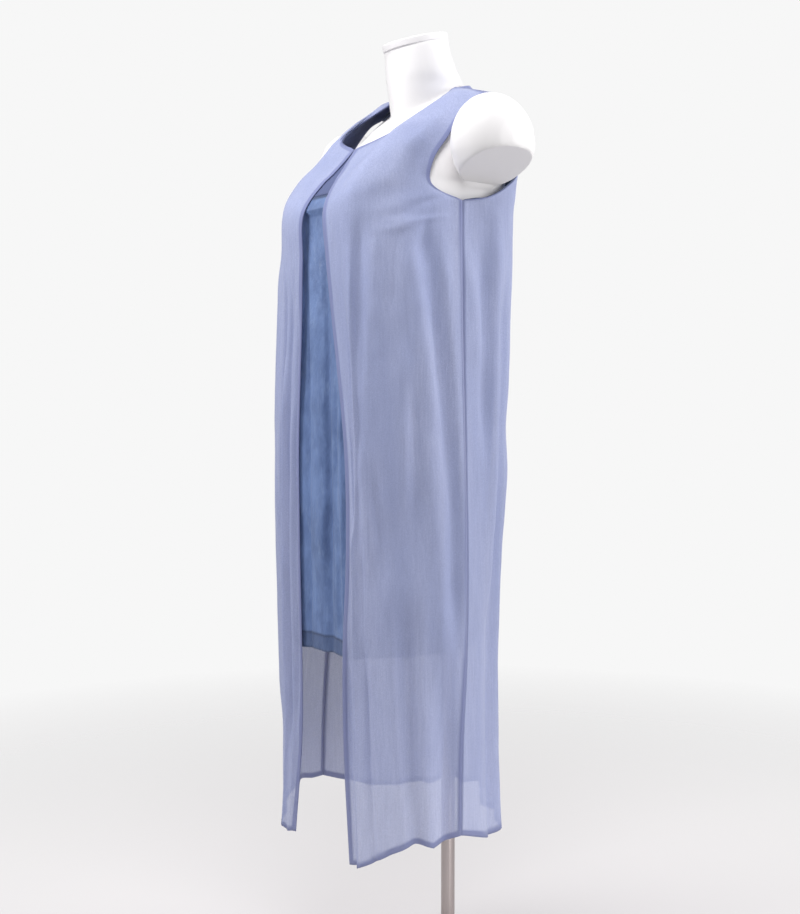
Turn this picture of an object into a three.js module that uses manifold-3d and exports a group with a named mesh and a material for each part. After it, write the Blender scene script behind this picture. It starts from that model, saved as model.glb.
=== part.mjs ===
// A two-layer sleeveless summer dress on a white limbless dress form with a pole and a round foot.
// Millimetres, +Z up, front towards -Y, the wearer's left towards +X.
// The origin is the middle of the foot's underside, on the pole's axis.

import * as THREE from 'three';
import { mergeVertices } from 'three/addons/utils/BufferGeometryUtils.js';
import Module from 'manifold-3d';

const wasm = await Module();
wasm.setup();

// Driving dimensions. Garment tables are measured from the hem's side seams:
// y from the plane through both side seams at the hem, z from the hem at those seams.
const HEM_HEIGHT = 325;        // hem at the side seams above the floor
const POLE_BEHIND = 136;       // pole axis behind the hem's side seams
const CLOTH_WALL = 1.2;        // thickness of each cloth wall
const LAYER_GAP = 0.5;         // clear space between the two layers where they lie together
const FORM_CLEARANCE = 2.2;    // clear space between the slip and the form
const SEAM_INSET = 0.6;        // each panel stops this short of a seam line
const POLE_RADIUS = 12;
const POLE_FIT = 0.3;          // clear space round the pole in its sockets
const SOCKET_DEPTH = 60;       // how far the pole runs up into the torso
const BASE_RADIUS = 175;
const BASE_THICKNESS = 10;
const BASE_FLOOR = 4;          // metal left under the pole's socket
const BOSS_RADIUS = 24;
const BOSS_HEIGHT = 34;
const CAP_THICKNESS = 5;
const FORM_SEGMENTS = 32;

const place = (x, y, z) => new THREE.Vector3(x, y - POLE_BEHIND, z + HEM_HEIGHT);

// ---------- materials ----------

const sheerCloth = new THREE.MeshStandardMaterial({ color: '#a9adcf', roughness: 0.85 });
const satinCloth = new THREE.MeshStandardMaterial({ color: '#5d78b4', roughness: 0.45 });
const formWhite = new THREE.MeshStandardMaterial({ color: '#f6f5f3', roughness: 0.5 });
const poleMetal = new THREE.MeshStandardMaterial({ color: '#a3938f', roughness: 0.3, metalness: 1 });

// ---------- the dress form ----------

// Level sections of the torso up to the shoulders, and of the neck: half width, y of the widest
// place, front and back of the section, and how square its halves are (2 is an ellipse).
const TORSO_SECTIONS = [
  { z: 452, half: 118, mid: 42, front: -62, back: 153, squareFront: 2.3, squareBack: 2.3 },
  { z: 475, half: 128, mid: 42, front: -76, back: 155, squareFront: 2.3, squareBack: 2.3 },
  { z: 560, half: 138, mid: 42, front: -92, back: 158, squareFront: 2.3, squareBack: 2.3 },
  { z: 640, half: 137, mid: 44, front: -94, back: 156, squareFront: 2.3, squareBack: 2.3 },
  { z: 720, half: 129, mid: 46, front: -88, back: 150, squareFront: 2.3, squareBack: 2.3 },
  { z: 790, half: 119, mid: 46, front: -86, back: 146, squareFront: 2.3, squareBack: 2.4 },
  { z: 870, half: 130, mid: 42, front: -104, back: 156, squareFront: 2.4, squareBack: 2.6 },
  { z: 940, half: 142, mid: 38, front: -127, back: 172, squareFront: 2.6, squareBack: 2.8 },
  { z: 990, half: 148, mid: 40, front: -126, back: 184, squareFront: 2.5, squareBack: 2.8 },
  { z: 1030, half: 149, mid: 56, front: -98, back: 189, squareFront: 2.2, squareBack: 2.8 },
  { z: 1070, half: 148, mid: 66, front: -66, back: 189, squareFront: 1.9, squareBack: 2.7 },
  { z: 1090, half: 147, mid: 71, front: -41, back: 188, squareFront: 1.75, squareBack: 2.6 },
  { z: 1110, half: 147, mid: 77, front: -17, back: 186, squareFront: 1.6, squareBack: 2.5 },
  { z: 1131, half: 146, mid: 82, front: 7, back: 182, squareFront: 1.6, squareBack: 2.3 },
  { z: 1150, half: 139, mid: 90, front: 38, back: 175, squareFront: 1.8, squareBack: 2.2 },
  { z: 1160, half: 130, mid: 92, front: 55, back: 170, squareFront: 1.9, squareBack: 2.1 },
  { z: 1168, half: 117, mid: 94, front: 64, back: 166, squareFront: 2, squareBack: 2 },
  { z: 1176, half: 99, mid: 95, front: 77, back: 162, squareFront: 2, squareBack: 2 },
  { z: 1184, half: 76, mid: 96, front: 87, back: 158, squareFront: 2, squareBack: 2 },
];
const NECK_SECTIONS = [
  { z: 1095, half: 46, mid: 84, front: 34, back: 150, squareFront: 2, squareBack: 2 },
  { z: 1140, half: 49, mid: 82, front: 22, back: 160, squareFront: 2, squareBack: 2 },
  { z: 1180, half: 52, mid: 81, front: 15, back: 163, squareFront: 2, squareBack: 2.2 },
  { z: 1198, half: 54, mid: 80, front: 13, back: 159, squareFront: 2, squareBack: 2 },
  { z: 1212, half: 57, mid: 77, front: 12, back: 150, squareFront: 2, squareBack: 2 },
  { z: 1232, half: 56, mid: 71, front: 11, back: 133, squareFront: 2, squareBack: 2 },
  { z: 1260, half: 54, mid: 65, front: 8, back: 121, squareFront: 2, squareBack: 2 },
  { z: 1320, half: 53, mid: 61, front: 5, back: 116, squareFront: 2, squareBack: 2 },
];
const FORM_RING_STEP = 22;

// The short upper-arm stubs: upright oval sections outwards from the shoulder, by distance x from
// the middle, cut off below by a slanted plane.
const STUB_SECTIONS = [
  { x: 96, y: 94, z: 1100, radiusY: 30, radiusZ: 54 },
  { x: 120, y: 92, z: 1090, radiusY: 36, radiusZ: 52 },
  { x: 138, y: 84, z: 1078, radiusY: 40, radiusZ: 50 },
  { x: 146, y: 80, z: 1068, radiusY: 46, radiusZ: 54 },
  { x: 156, y: 72, z: 1070, radiusY: 64, radiusZ: 66 },
  { x: 170, y: 68, z: 1075, radiusY: 75, radiusZ: 75 },
  { x: 186, y: 69, z: 1079, radiusY: 74, radiusZ: 76 },
  { x: 205, y: 71, z: 1080, radiusY: 67, radiusZ: 68 },
  { x: 221, y: 73, z: 1078, radiusY: 52, radiusZ: 53 },
  { x: 230, y: 74, z: 1076, radiusY: 35, radiusZ: 36 },
  { x: 234, y: 74, z: 1075, radiusY: 12, radiusZ: 12 },
];
const STUB_SEGMENTS = 24;
const STUB_RING_STEP = 9;
const STUB_CUT = { x: 150, z: 1014, slope: 0.56 };
// The neck is cut off by a plane that rises towards the back.
const NECK_TOP = { y: 61, z: 1272, slope: 0.4, radiusX: 53, radiusY: 59 };

// Smooth value of one column of a table whose rows are ordered by the column `key`.
function columnAt(table, column, value, key = 'z') {
  const last = table.length - 1;
  let i = 0;
  while (i < last - 1 && value > table[i + 1][key]) i += 1;
  const slopeAt = (k) => {
    const low = table[Math.max(k - 1, 0)];
    const high = table[Math.min(k + 1, last)];
    return (high[column] - low[column]) / (high[key] - low[key]);
  };
  const span = table[i + 1][key] - table[i][key];
  const t = THREE.MathUtils.clamp((value - table[i][key]) / span, 0, 1);
  const t2 = t * t;
  const t3 = t2 * t;
  return (2 * t3 - 3 * t2 + 1) * table[i][column] + (t3 - 2 * t2 + t) * span * slopeAt(i)
    + (3 * t2 - 2 * t3) * table[i + 1][column] + (t3 - t2) * span * slopeAt(i + 1);
}

function sectionAt(table, z) {
  const columns = ['half', 'mid', 'front', 'back', 'squareFront', 'squareBack'];
  return Object.fromEntries(columns.map((column) => [column, columnAt(table, column, z)]));
}

// The outline point of a section in one direction.
function sectionPoint(section, angle) {
  const across = Math.cos(angle);
  const along = Math.sin(angle);
  const depth = along < 0 ? section.mid - section.front : section.back - section.mid;
  const power = along < 0 ? section.squareFront : section.squareBack;
  const scale = (Math.abs(across) ** power + Math.abs(along) ** power) ** (-1 / power);
  return { x: across * scale * section.half, y: section.mid + along * scale * depth };
}

function sectionContains(table, p) {
  if (p.z < table[0].z || p.z > table[table.length - 1].z) return false;
  const section = sectionAt(table, p.z);
  const isFront = p.y < section.mid;
  const depth = isFront ? section.mid - section.front : section.back - section.mid;
  const power = isFront ? section.squareFront : section.squareBack;
  return (Math.abs(p.x) / section.half) ** power + (Math.abs(p.y - section.mid) / depth) ** power < 1;
}

function stubContains(p) {
  const x = Math.abs(p.x);
  const isOverCut = p.z > STUB_CUT.z + STUB_CUT.slope * (x - STUB_CUT.x);
  if (!isOverCut || x < STUB_SECTIONS[0].x || x > STUB_SECTIONS[STUB_SECTIONS.length - 1].x) return false;
  const at = (column) => columnAt(STUB_SECTIONS, column, x, 'x');
  return ((p.y - at('y')) / at('radiusY')) ** 2 + ((p.z - at('z')) / at('radiusZ')) ** 2 < 1;
}

const formContains = (p) => sectionContains(TORSO_SECTIONS, p) || stubContains(p);

// Values from the first row's key to the last one's: every row's own, and more between rows.
function stationsOf(table, key, step) {
  const stations = [table[0][key]];
  for (let i = 1; i < table.length; i += 1) {
    const span = table[i][key] - table[i - 1][key];
    const steps = Math.max(1, Math.round(span / step));
    for (let k = 1; k <= steps; k += 1) stations.push(table[i - 1][key] + (span * k) / steps);
  }
  return stations;
}

// A closed skin over rings of points, all with as many points, and flat ends.
function skinGeometry(rings) {
  const count = rings[0].length;
  const positions = rings.flatMap((ring) => ring.flatMap((p) => p.toArray()));
  const index = [];
  const ringPoint = (i, k) => i * count + (k % count);
  const top = rings.length - 1;
  for (let i = 0; i < top; i += 1) {
    for (let k = 0; k < count; k += 1) {
      index.push(ringPoint(i, k), ringPoint(i, k + 1), ringPoint(i + 1, k + 1));
      index.push(ringPoint(i, k), ringPoint(i + 1, k + 1), ringPoint(i + 1, k));
    }
  }
  for (const end of [0, top]) {
    const middle = rings[end].reduce((sum, p) => sum.add(p), new THREE.Vector3()).divideScalar(count);
    const centre = positions.length / 3;
    positions.push(...middle.toArray());
    for (let k = 0; k < count; k += 1) {
      const pair = [ringPoint(end, k), ringPoint(end, k + 1)];
      if (end === 0) pair.reverse();
      index.push(centre, ...pair);
    }
  }
  const geometry = new THREE.BufferGeometry();
  geometry.setAttribute('position', new THREE.Float32BufferAttribute(positions, 3));
  geometry.setIndex(index);
  return geometry;
}

function loftGeometry(table) {
  return skinGeometry(stationsOf(table, 'z', FORM_RING_STEP).map((z) => {
    const section = sectionAt(table, z);
    return Array.from({ length: FORM_SEGMENTS }, (_, k) => {
      const outline = sectionPoint(section, (2 * Math.PI * k) / FORM_SEGMENTS);
      return place(outline.x, outline.y, z);
    });
  }));
}

function stubGeometry(side) {
  return skinGeometry(stationsOf(STUB_SECTIONS, 'x', STUB_RING_STEP).map((x) => {
    const at = (column) => columnAt(STUB_SECTIONS, column, x, 'x');
    return Array.from({ length: STUB_SEGMENTS }, (_, k) => {
      const angle = (side * 2 * Math.PI * k) / STUB_SEGMENTS;
      const y = at('y') + at('radiusY') * Math.cos(angle);
      const z = at('z') + at('radiusZ') * Math.sin(angle);
      return place(side * x, y, z);
    });
  }));
}

function toManifold(source) {
  const bare = source.clone();
  bare.deleteAttribute('normal');
  bare.deleteAttribute('uv');
  const merged = mergeVertices(bare, 1e-4);
  return new wasm.Manifold(new wasm.Mesh({
    numProp: 3,
    vertProperties: new Float32Array(merged.attributes.position.array),
    triVerts: new Uint32Array(merged.index.array),
  }));
}

function fromManifold(solid) {
  const mesh = solid.getMesh();
  const geometry = new THREE.BufferGeometry();
  geometry.setAttribute('position', new THREE.Float32BufferAttribute(mesh.vertProperties, 3));
  geometry.setIndex(new THREE.Uint32BufferAttribute(mesh.triVerts, 1));
  geometry.computeVertexNormals();
  return geometry;
}

// A large block whose lower face lies in a plane through a garment point and rises along `rise`.
function blockAbovePlane(point, tiltAxis, slope, isBelow) {
  const size = 600;
  const block = new THREE.BoxGeometry(size, size, size);
  block.translate(0, 0, isBelow ? -size / 2 : size / 2);
  const turn = Math.atan(slope);
  if (tiltAxis === 'y') block.rotateY(-turn);
  else block.rotateX(turn);
  const p = place(point.x, point.y, point.z);
  block.translate(p.x, p.y, p.z);
  return block;
}

function formGeometry() {
  let form = toManifold(loftGeometry(TORSO_SECTIONS)).add(toManifold(loftGeometry(NECK_SECTIONS)));
  for (const side of [-1, 1]) {
    const cutPoint = { x: side * STUB_CUT.x, y: 0, z: STUB_CUT.z };
    const cut = toManifold(blockAbovePlane(cutPoint, 'y', side * STUB_CUT.slope, true));
    form = form.add(toManifold(stubGeometry(side)).subtract(cut));
  }
  const neckPoint = { x: 0, y: NECK_TOP.y, z: NECK_TOP.z };
  form = form.subtract(toManifold(blockAbovePlane(neckPoint, 'x', NECK_TOP.slope, false)));
  const bore = POLE_RADIUS + POLE_FIT;
  const socket = new THREE.CylinderGeometry(bore, bore, 2 * SOCKET_DEPTH, 24);
  socket.rotateX(Math.PI / 2);
  const mouth = place(0, POLE_BEHIND, TORSO_SECTIONS[0].z);
  socket.translate(mouth.x, mouth.y, mouth.z);
  return fromManifold(form.subtract(toManifold(socket)));
}

function neckCapGeometry() {
  const outline = new THREE.Shape();
  outline.absellipse(0, 0, NECK_TOP.radiusX - 2, NECK_TOP.radiusY - 2, 0, 2 * Math.PI);
  const cap = new THREE.ExtrudeGeometry(outline, {
    depth: CAP_THICKNESS - 3, bevelThickness: 1.5, bevelSize: 1.5, bevelSegments: 2, curveSegments: 20,
  });
  cap.translate(0, 0, 1.5 + POLE_FIT);
  cap.rotateX(Math.atan(NECK_TOP.slope));
  const p = place(0, NECK_TOP.y, NECK_TOP.z);
  cap.translate(p.x, p.y, p.z);
  return mergeVertices(cap);
}

function poleGeometry() {
  const top = TORSO_SECTIONS[0].z + HEM_HEIGHT + SOCKET_DEPTH - POLE_FIT;
  const bottom = BASE_FLOOR + POLE_FIT;
  const pole = new THREE.CylinderGeometry(POLE_RADIUS, POLE_RADIUS, top - bottom, 24);
  pole.rotateX(Math.PI / 2);
  pole.translate(0, 0, (top + bottom) / 2);
  return pole;
}

function baseGeometry() {
  const bore = POLE_RADIUS + POLE_FIT;
  const profile = [
    [0, 0], [BASE_RADIUS - 2, 0], [BASE_RADIUS, 2], [BASE_RADIUS, BASE_THICKNESS - 3],
    [BASE_RADIUS - 4, BASE_THICKNESS], [BOSS_RADIUS + 6, BASE_THICKNESS + 1],
    [BOSS_RADIUS, BASE_THICKNESS + 6], [BOSS_RADIUS - 3, BOSS_HEIGHT], [bore, BOSS_HEIGHT],
    [bore, BASE_FLOOR], [0, BASE_FLOOR],
  ].map(([radius, z]) => new THREE.Vector2(radius, z));
  const base = new THREE.LatheGeometry(profile, 36);
  base.rotateX(Math.PI / 2);
  return base;
}

// ---------- the cloth ----------

// Control points of the outer front, a row for each level from hem to shoulder seam.
// edge: open front edge, then neck point. neck, ridge: over the bust to the neckline.
// cheek: towards the side. side: side seam, then armhole.
const FRONT_ROWS = [
  { level: 'hem', edge: [86, -126, -52], neck: [112, -130, -46], ridge: [138, -124, -34],
    cheek: [177, -68, -1], side: [192, 0, 0] },
  { level: 'shin', edge: [59, -131, 130], neck: [96, -131, 130], ridge: [131, -126, 130],
    cheek: [176, -70, 130], side: [190, 4, 130] },
  { level: 'knee', edge: [58, -140, 274], neck: [95, -138, 274], ridge: [128, -131, 274],
    cheek: [174, -70, 274], side: [188, 14, 274] },
  { level: 'thigh', edge: [66, -143, 440], neck: [97, -142, 440], ridge: [125, -137, 440],
    cheek: [170, -72, 440], side: [183, 19, 440] },
  { level: 'hip', edge: [64, -144, 600], neck: [92, -144, 600], ridge: [118, -140, 600],
    cheek: [163, -75, 600], side: [176, 21, 600] },
  { level: 'waist', edge: [43, -144, 800], neck: [75, -144, 800], ridge: [105, -140, 800],
    cheek: [154, -76, 800], side: [167, 23, 800] },
  { level: 'rib', edge: [33, -148, 900], neck: [66, -147, 900], ridge: [99, -141, 900],
    cheek: [150, -70, 900], side: [163, 25, 900] },
  { level: 'bust', edge: [27, -147, 972], neck: [62, -146, 980], ridge: [95, -140, 986],
    cheek: [147, -50, 985], side: [160, 27, 987] },
  { level: 'apex', edge: [16, -114, 1022], neck: [55, -116, 1027], ridge: [92, -113, 1032],
    cheek: [137, -50, 1022], side: [143, -22, 1010] },
  { level: 'chest', edge: [10, -100, 1037], neck: [55, -92, 1051], ridge: [88, -80, 1067],
    cheek: [123, -44, 1064], side: [138, -13, 1048] },
  { level: 'armhole', edge: [4, -80, 1060], neck: [52, -56, 1082], ridge: [86, -44, 1102],
    cheek: [117, -9, 1104], side: [138, 16, 1088] },
  { level: 'collar', edge: [1.8, -70, 1072], neck: [55, -28, 1104], ridge: [79, 4, 1134],
    cheek: [112, 26, 1136], side: [138, 42, 1123] },
  { level: 'crest', edge: [1, -66, 1077.5], neck: [61, -8, 1120], ridge: [77, 60, 1170],
    cheek: [106, 68, 1174], side: [139, 70, 1152] },
  { level: 'seam', edge: [0.8, -65, 1079], neck: [62, 0, 1125], ridge: [62, 95, 1190],
    cheek: [101, 95, 1181], side: [140, 95, 1168] },
];
// The open edges hang a little unevenly: sideways shift of the left and right edge at each level.
const EDGE_SWAY = [
  { level: 'hem', left: -18, right: 2 }, { level: 'shin', left: 0, right: 0 },
  { level: 'knee', left: 12, right: -12 }, { level: 'thigh', left: 18, right: -20 },
  { level: 'hip', left: 17, right: -18 }, { level: 'waist', left: 6, right: -7 },
  { level: 'rib', left: 5, right: -6 }, { level: 'bust', left: 3, right: -3 },
];

// Half of the outer back from the side seam to the centre, a row for each level.
const BACK_ROWS = [
  { level: 'hem', side: [192, 0, 0], blade: [157, 104, -34], ridge: [95, 152, -26],
    nape: [45, 171, -6], centre: [0, 176, 0] },
  { level: 'shin', side: [190, 4, 130], blade: [150, 101, 130], ridge: [90, 151, 130],
    nape: [44, 167, 130], centre: [0, 172, 130] },
  { level: 'knee', side: [188, 14, 274], blade: [147, 105, 274], ridge: [88, 153, 274],
    nape: [43, 167, 274], centre: [0, 171, 274] },
  { level: 'thigh', side: [183, 19, 440], blade: [146, 115, 440], ridge: [87, 160, 440],
    nape: [42, 171, 440], centre: [0, 174, 440] },
  { level: 'hip', side: [176, 21, 600], blade: [150, 128, 600], ridge: [87, 169, 600],
    nape: [42, 177, 600], centre: [0, 179, 600] },
  { level: 'waist', side: [167, 23, 800], blade: [150, 138, 800], ridge: [86, 180, 800],
    nape: [42, 188, 800], centre: [0, 190, 800] },
  { level: 'rib', side: [163, 25, 900], blade: [149, 141, 900], ridge: [88, 187, 900],
    nape: [43, 195, 900], centre: [0, 197, 900] },
  { level: 'bust', side: [160, 27, 987], blade: [148, 142, 985], ridge: [89, 190, 984],
    nape: [43, 199, 984], centre: [0, 201, 984] },
  { level: 'underarm', side: [161, 76, 996], blade: [145, 152, 1006], ridge: [89, 191, 1014],
    nape: [43, 199, 1018], centre: [0, 201, 1019] },
  { level: 'blade', side: [156, 120, 1015], blade: [138, 164, 1032], ridge: [87, 190, 1046],
    nape: [43, 198, 1052], centre: [0, 200, 1053] },
  { level: 'armhole', side: [151, 152, 1040], blade: [130, 176, 1062], ridge: [84, 189, 1078],
    nape: [42, 196, 1084], centre: [0, 198, 1086] },
  { level: 'yoke', side: [147, 168, 1100], blade: [123, 178, 1111], ridge: [80, 185, 1117],
    nape: [40, 191, 1122], centre: [0, 193, 1124] },
  { level: 'collar', side: [144, 152, 1152], blade: [116, 159, 1158], ridge: [75, 171, 1160],
    nape: [40, 183, 1160], centre: [0, 186, 1162] },
  { level: 'crest', side: [141, 122, 1168], blade: [107, 125, 1178], ridge: [66, 126, 1187],
    nape: [45, 157, 1194], centre: [0, 172, 1190] },
  { level: 'seam', side: [140, 95, 1168], blade: [101, 95, 1181], ridge: [62, 95, 1190],
    nape: [46, 143, 1204], centre: [0, 166, 1200] },
];

// Half of the slip up to the bust: satin front and back hang closer in than the outer layer.
const SLIP_FRONT_ROWS = [
  { level: 'hem', centre: [14, -135, 272], bust: [62, -132, 272], ridge: [98, -122, 273],
    cheek: [138, -70, 274], side: [149, -6, 276] },
  { level: 'thigh', centre: [14, -137, 440], bust: [60, -134, 440], ridge: [96, -126, 440],
    cheek: [138, -72, 440], side: [150, -4, 440] },
  { level: 'hip', centre: [14, -138, 600], bust: [60, -136, 600], ridge: [96, -129, 600],
    cheek: [139, -70, 600], side: [153, 4, 600] },
  { level: 'waist', centre: [14, -138, 800], bust: [60, -136, 800], ridge: [94, -132, 800],
    cheek: [140, -64, 800], side: [155, 15, 800] },
  { level: 'rib', centre: [14, -139, 900], bust: [60, -139, 900], ridge: [92, -134, 900],
    cheek: [142, -58, 900], side: [156, 21, 900] },
  { level: 'bust', centre: [14, -139, 968], bust: [59, -139, 975], ridge: [91, -134, 981],
    cheek: [143, -44, 983], side: [157, 27, 985] },
];
const SLIP_BACK_ROWS = [
  { level: 'hem', side: [149, -6, 276], blade: [122, 82, 274], ridge: [82, 132, 272],
    nape: [42, 149, 271], centre: [0, 154, 270] },
  { level: 'thigh', side: [150, -4, 440], blade: [134, 96, 440], ridge: [82, 143, 440],
    nape: [42, 157, 440], centre: [0, 161, 440] },
  { level: 'hip', side: [153, 4, 600], blade: [138, 108, 600], ridge: [82, 153, 600],
    nape: [42, 167, 600], centre: [0, 171, 600] },
  { level: 'waist', side: [155, 15, 800], blade: [140, 124, 800], ridge: [82, 164, 800],
    nape: [42, 176, 800], centre: [0, 179, 800] },
  { level: 'rib', side: [156, 21, 900], blade: [141, 131, 900], ridge: [84, 175, 900],
    nape: [42, 187, 900], centre: [0, 189, 900] },
  { level: 'bust', side: [157, 27, 985], blade: [144, 138, 984], ridge: [86, 186, 984],
    nape: [42, 196, 984], centre: [0, 198, 984] },
];

// Soft folds of the outer layer: how far across the panel (0 first seam, 1 last) they start
// at the foot and end at the head, the heights between which they fade, width and depth.
const LEFT_FOLDS = [
  { foot: 0.86, head: 0.7, low: 250, high: 985, width: 0.09, depth: -9 },
  { foot: 0.7, head: 0.55, low: -60, high: 420, width: 0.09, depth: -8 },
  { foot: 0.3, head: 0.26, low: -60, high: 620, width: 0.1, depth: 6 },
  { foot: 0.97, head: 0.9, low: 300, high: 980, width: 0.06, depth: 5 },
];
const RIGHT_FOLDS = [
  { foot: 0.82, head: 0.72, low: 200, high: 960, width: 0.09, depth: -8 },
  { foot: 0.55, head: 0.5, low: -60, high: 500, width: 0.09, depth: -6 },
  { foot: 0.3, head: 0.28, low: -60, high: 640, width: 0.1, depth: 4 },
];
const BACK_FOLDS = [
  { foot: 0.12, head: 0.16, low: 120, high: 970, width: 0.05, depth: 7 },
  { foot: 0.27, head: 0.24, low: -60, high: 900, width: 0.05, depth: -8 },
  { foot: 0.42, head: 0.44, low: -60, high: 780, width: 0.05, depth: 7 },
  { foot: 0.6, head: 0.58, low: -60, high: 860, width: 0.06, depth: -8 },
  { foot: 0.77, head: 0.75, low: -60, high: 930, width: 0.05, depth: 7 },
];

const CORNER_ROWS = 4;         // rows below the seam over which the neck corners form

// Share of a panel beside each seam over which its folds die out.
const SEAM_CALM = 0.08;

const toPoints = (row, columns) => columns.map((name) => new THREE.Vector3(...row[name]));

// Points along one column of control points, `steps` to each span. A column that is a side seam
// and then an armhole turns sharply at the row where the seam ends.
function columnPoints(points, steps, seamEnd) {
  const parts = seamEnd ? [points.slice(0, seamEnd + 1), points.slice(seamEnd)] : [points];
  const result = [];
  for (const part of parts) {
    const curve = new THREE.CatmullRomCurve3(part);
    const samples = curve.getPoints((part.length - 1) * steps);
    if (result.length) samples.shift();
    result.push(...samples);
  }
  return result;
}

// Points across one row: smooth, or with a sharp turn at each corner column, or between the two.
function rowPoints(points, across, corners, sharpness) {
  const smooth = new THREE.CatmullRomCurve3(points).getPoints(across);
  if (sharpness === 0) return smooth;
  const stops = [0, ...corners, points.length - 1];
  const sharp = [points[0].clone()];
  for (let s = 1; s < stops.length; s += 1) {
    const part = new THREE.CatmullRomCurve3(points.slice(stops[s - 1], stops[s] + 1));
    const share = (stops[s] - stops[s - 1]) / (points.length - 1);
    sharp.push(...part.getPoints(Math.round(across * share)).slice(1));
  }
  return smooth.map((p, j) => p.lerp(sharp[j], sharpness));
}

// A grid of points: smooth along each named column, then smooth across each row.
// seamColumns lists the columns that turn at row seamEnd; the top rows turn at the neck corners.
function smoothGrid(rows, across, steps, seamColumns = [], seamEnd = 0, corners = []) {
  const columns = rows[0].map((_, k) => (
    columnPoints(rows.map((row) => row[k]), steps, seamColumns.includes(k) ? seamEnd : 0)));
  const last = columns[0].length - 1;
  return columns[0].map((_, i) => {
    const sharpness = corners.length ? THREE.MathUtils.clamp(1 - (last - i) / CORNER_ROWS, 0, 1) : 0;
    return rowPoints(columns.map((column) => column[i]), across, corners, sharpness);
  });
}

// Front and back meet square on the shoulder seam, so both are thickened straight across it.
const SHOULDER_SEAM_Y = 95;
const SEAM_BAND = 3;

const NORMAL_PASSES = 1;       // times that the normals are averaged with their neighbours

// Normals of a grid whose rows run from the wearer's left, seen from outside, or back to front.
// A normal counts little where a row and a column run almost alike.
function gridNormals(grid, outward) {
  let normals = grid.map((line, i) => line.map((_, j) => {
    const before = line[Math.max(j - 1, 0)];
    const after = line[Math.min(j + 1, line.length - 1)];
    const below = grid[Math.max(i - 1, 0)][j];
    const above = grid[Math.min(i + 1, grid.length - 1)][j];
    const across = new THREE.Vector3().subVectors(after, before).normalize();
    const upward = new THREE.Vector3().subVectors(above, below).normalize();
    const normal = across.cross(upward);
    return normal.multiplyScalar(outward * normal.length());
  }));
  for (let pass = 0; pass < NORMAL_PASSES; pass += 1) {
    const rough = normals;
    normals = rough.map((line, i) => line.map((normal, j) => {
      const sum = normal.clone().multiplyScalar(2);
      for (const [di, dj] of [[1, 0], [-1, 0], [0, 1], [0, -1]]) {
        const neighbour = rough[i + di]?.[j + dj];
        if (neighbour) sum.add(neighbour);
      }
      return sum;
    }));
  }
  const seamRow = grid.length - 1;
  grid[seamRow].forEach((p, j) => {
    if (Math.abs(p.y - SHOULDER_SEAM_Y) < SEAM_BAND) normals[seamRow][j].setY(0);
  });
  return normals.map((line) => line.map((normal) => normal.normalize()));
}

const moved = (grid, normals, distance) => grid.map((line, i) => line.map((p, j) => (
  p.clone().addScaledVector(normals[i][j], distance))));

function withFolds(grid, folds, outward) {
  const normals = gridNormals(grid, outward);
  return grid.map((line, i) => line.map((p, j) => {
    const across = j / (line.length - 1);
    let push = 0;
    for (const fold of folds) {
      const height = THREE.MathUtils.clamp((p.z - fold.low) / (fold.high - fold.low), 0, 1);
      const middle = THREE.MathUtils.lerp(fold.foot, fold.head, height);
      const fade = Math.sin(Math.PI * THREE.MathUtils.clamp(height * 0.85 + 0.15, 0, 1)) ** 0.8;
      push += fold.depth * fade * Math.exp(-(((across - middle) / fold.width) ** 2));
    }
    push *= THREE.MathUtils.smoothstep(Math.min(across, 1 - across), 0, SEAM_CALM);
    return p.clone().addScaledVector(normals[i][j], push);
  }));
}

// Pushes points outwards until they are `clearance` outside the form near them.
const FORM_SEARCH = { from: 14, to: -8, step: 0.4, lowest: 900 };
function clearGrid(grid, outward) {
  const normals = gridNormals(grid, outward);
  return grid.map((line, i) => line.map((p, j) => {
    if (p.z < FORM_SEARCH.lowest) return p.clone();
    let reach = FORM_SEARCH.from;
    while (reach > FORM_SEARCH.to && !formContains(p.clone().addScaledVector(normals[i][j], reach))) {
      reach -= FORM_SEARCH.step;
    }
    const push = Math.max(0, reach + FORM_SEARCH.step + OUTER_CLEARANCE);
    return p.clone().addScaledVector(normals[i][j], push);
  }));
}

// Draws the chosen borders of a grid back from their seam lines.
function insetBorders(grid, borders) {
  const result = grid.map((line) => line.map((p) => p.clone()));
  const last = result[0].length - 1;
  const top = result.length - 1;
  const towards = (from, to) => (
    new THREE.Vector3().subVectors(to, from).normalize().multiplyScalar(SEAM_INSET));
  for (const line of result) {
    if (borders.includes('first')) line[0].add(towards(line[0], line[1]));
    if (borders.includes('last')) line[last].add(towards(line[last], line[last - 1]));
  }
  for (let j = 0; j <= last; j += 1) {
    if (borders.includes('top')) result[top][j].add(towards(result[top][j], result[top - 1][j]));
    if (borders.includes('bottom')) result[0][j].add(towards(result[0][j], result[1][j]));
  }
  return result;
}

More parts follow.
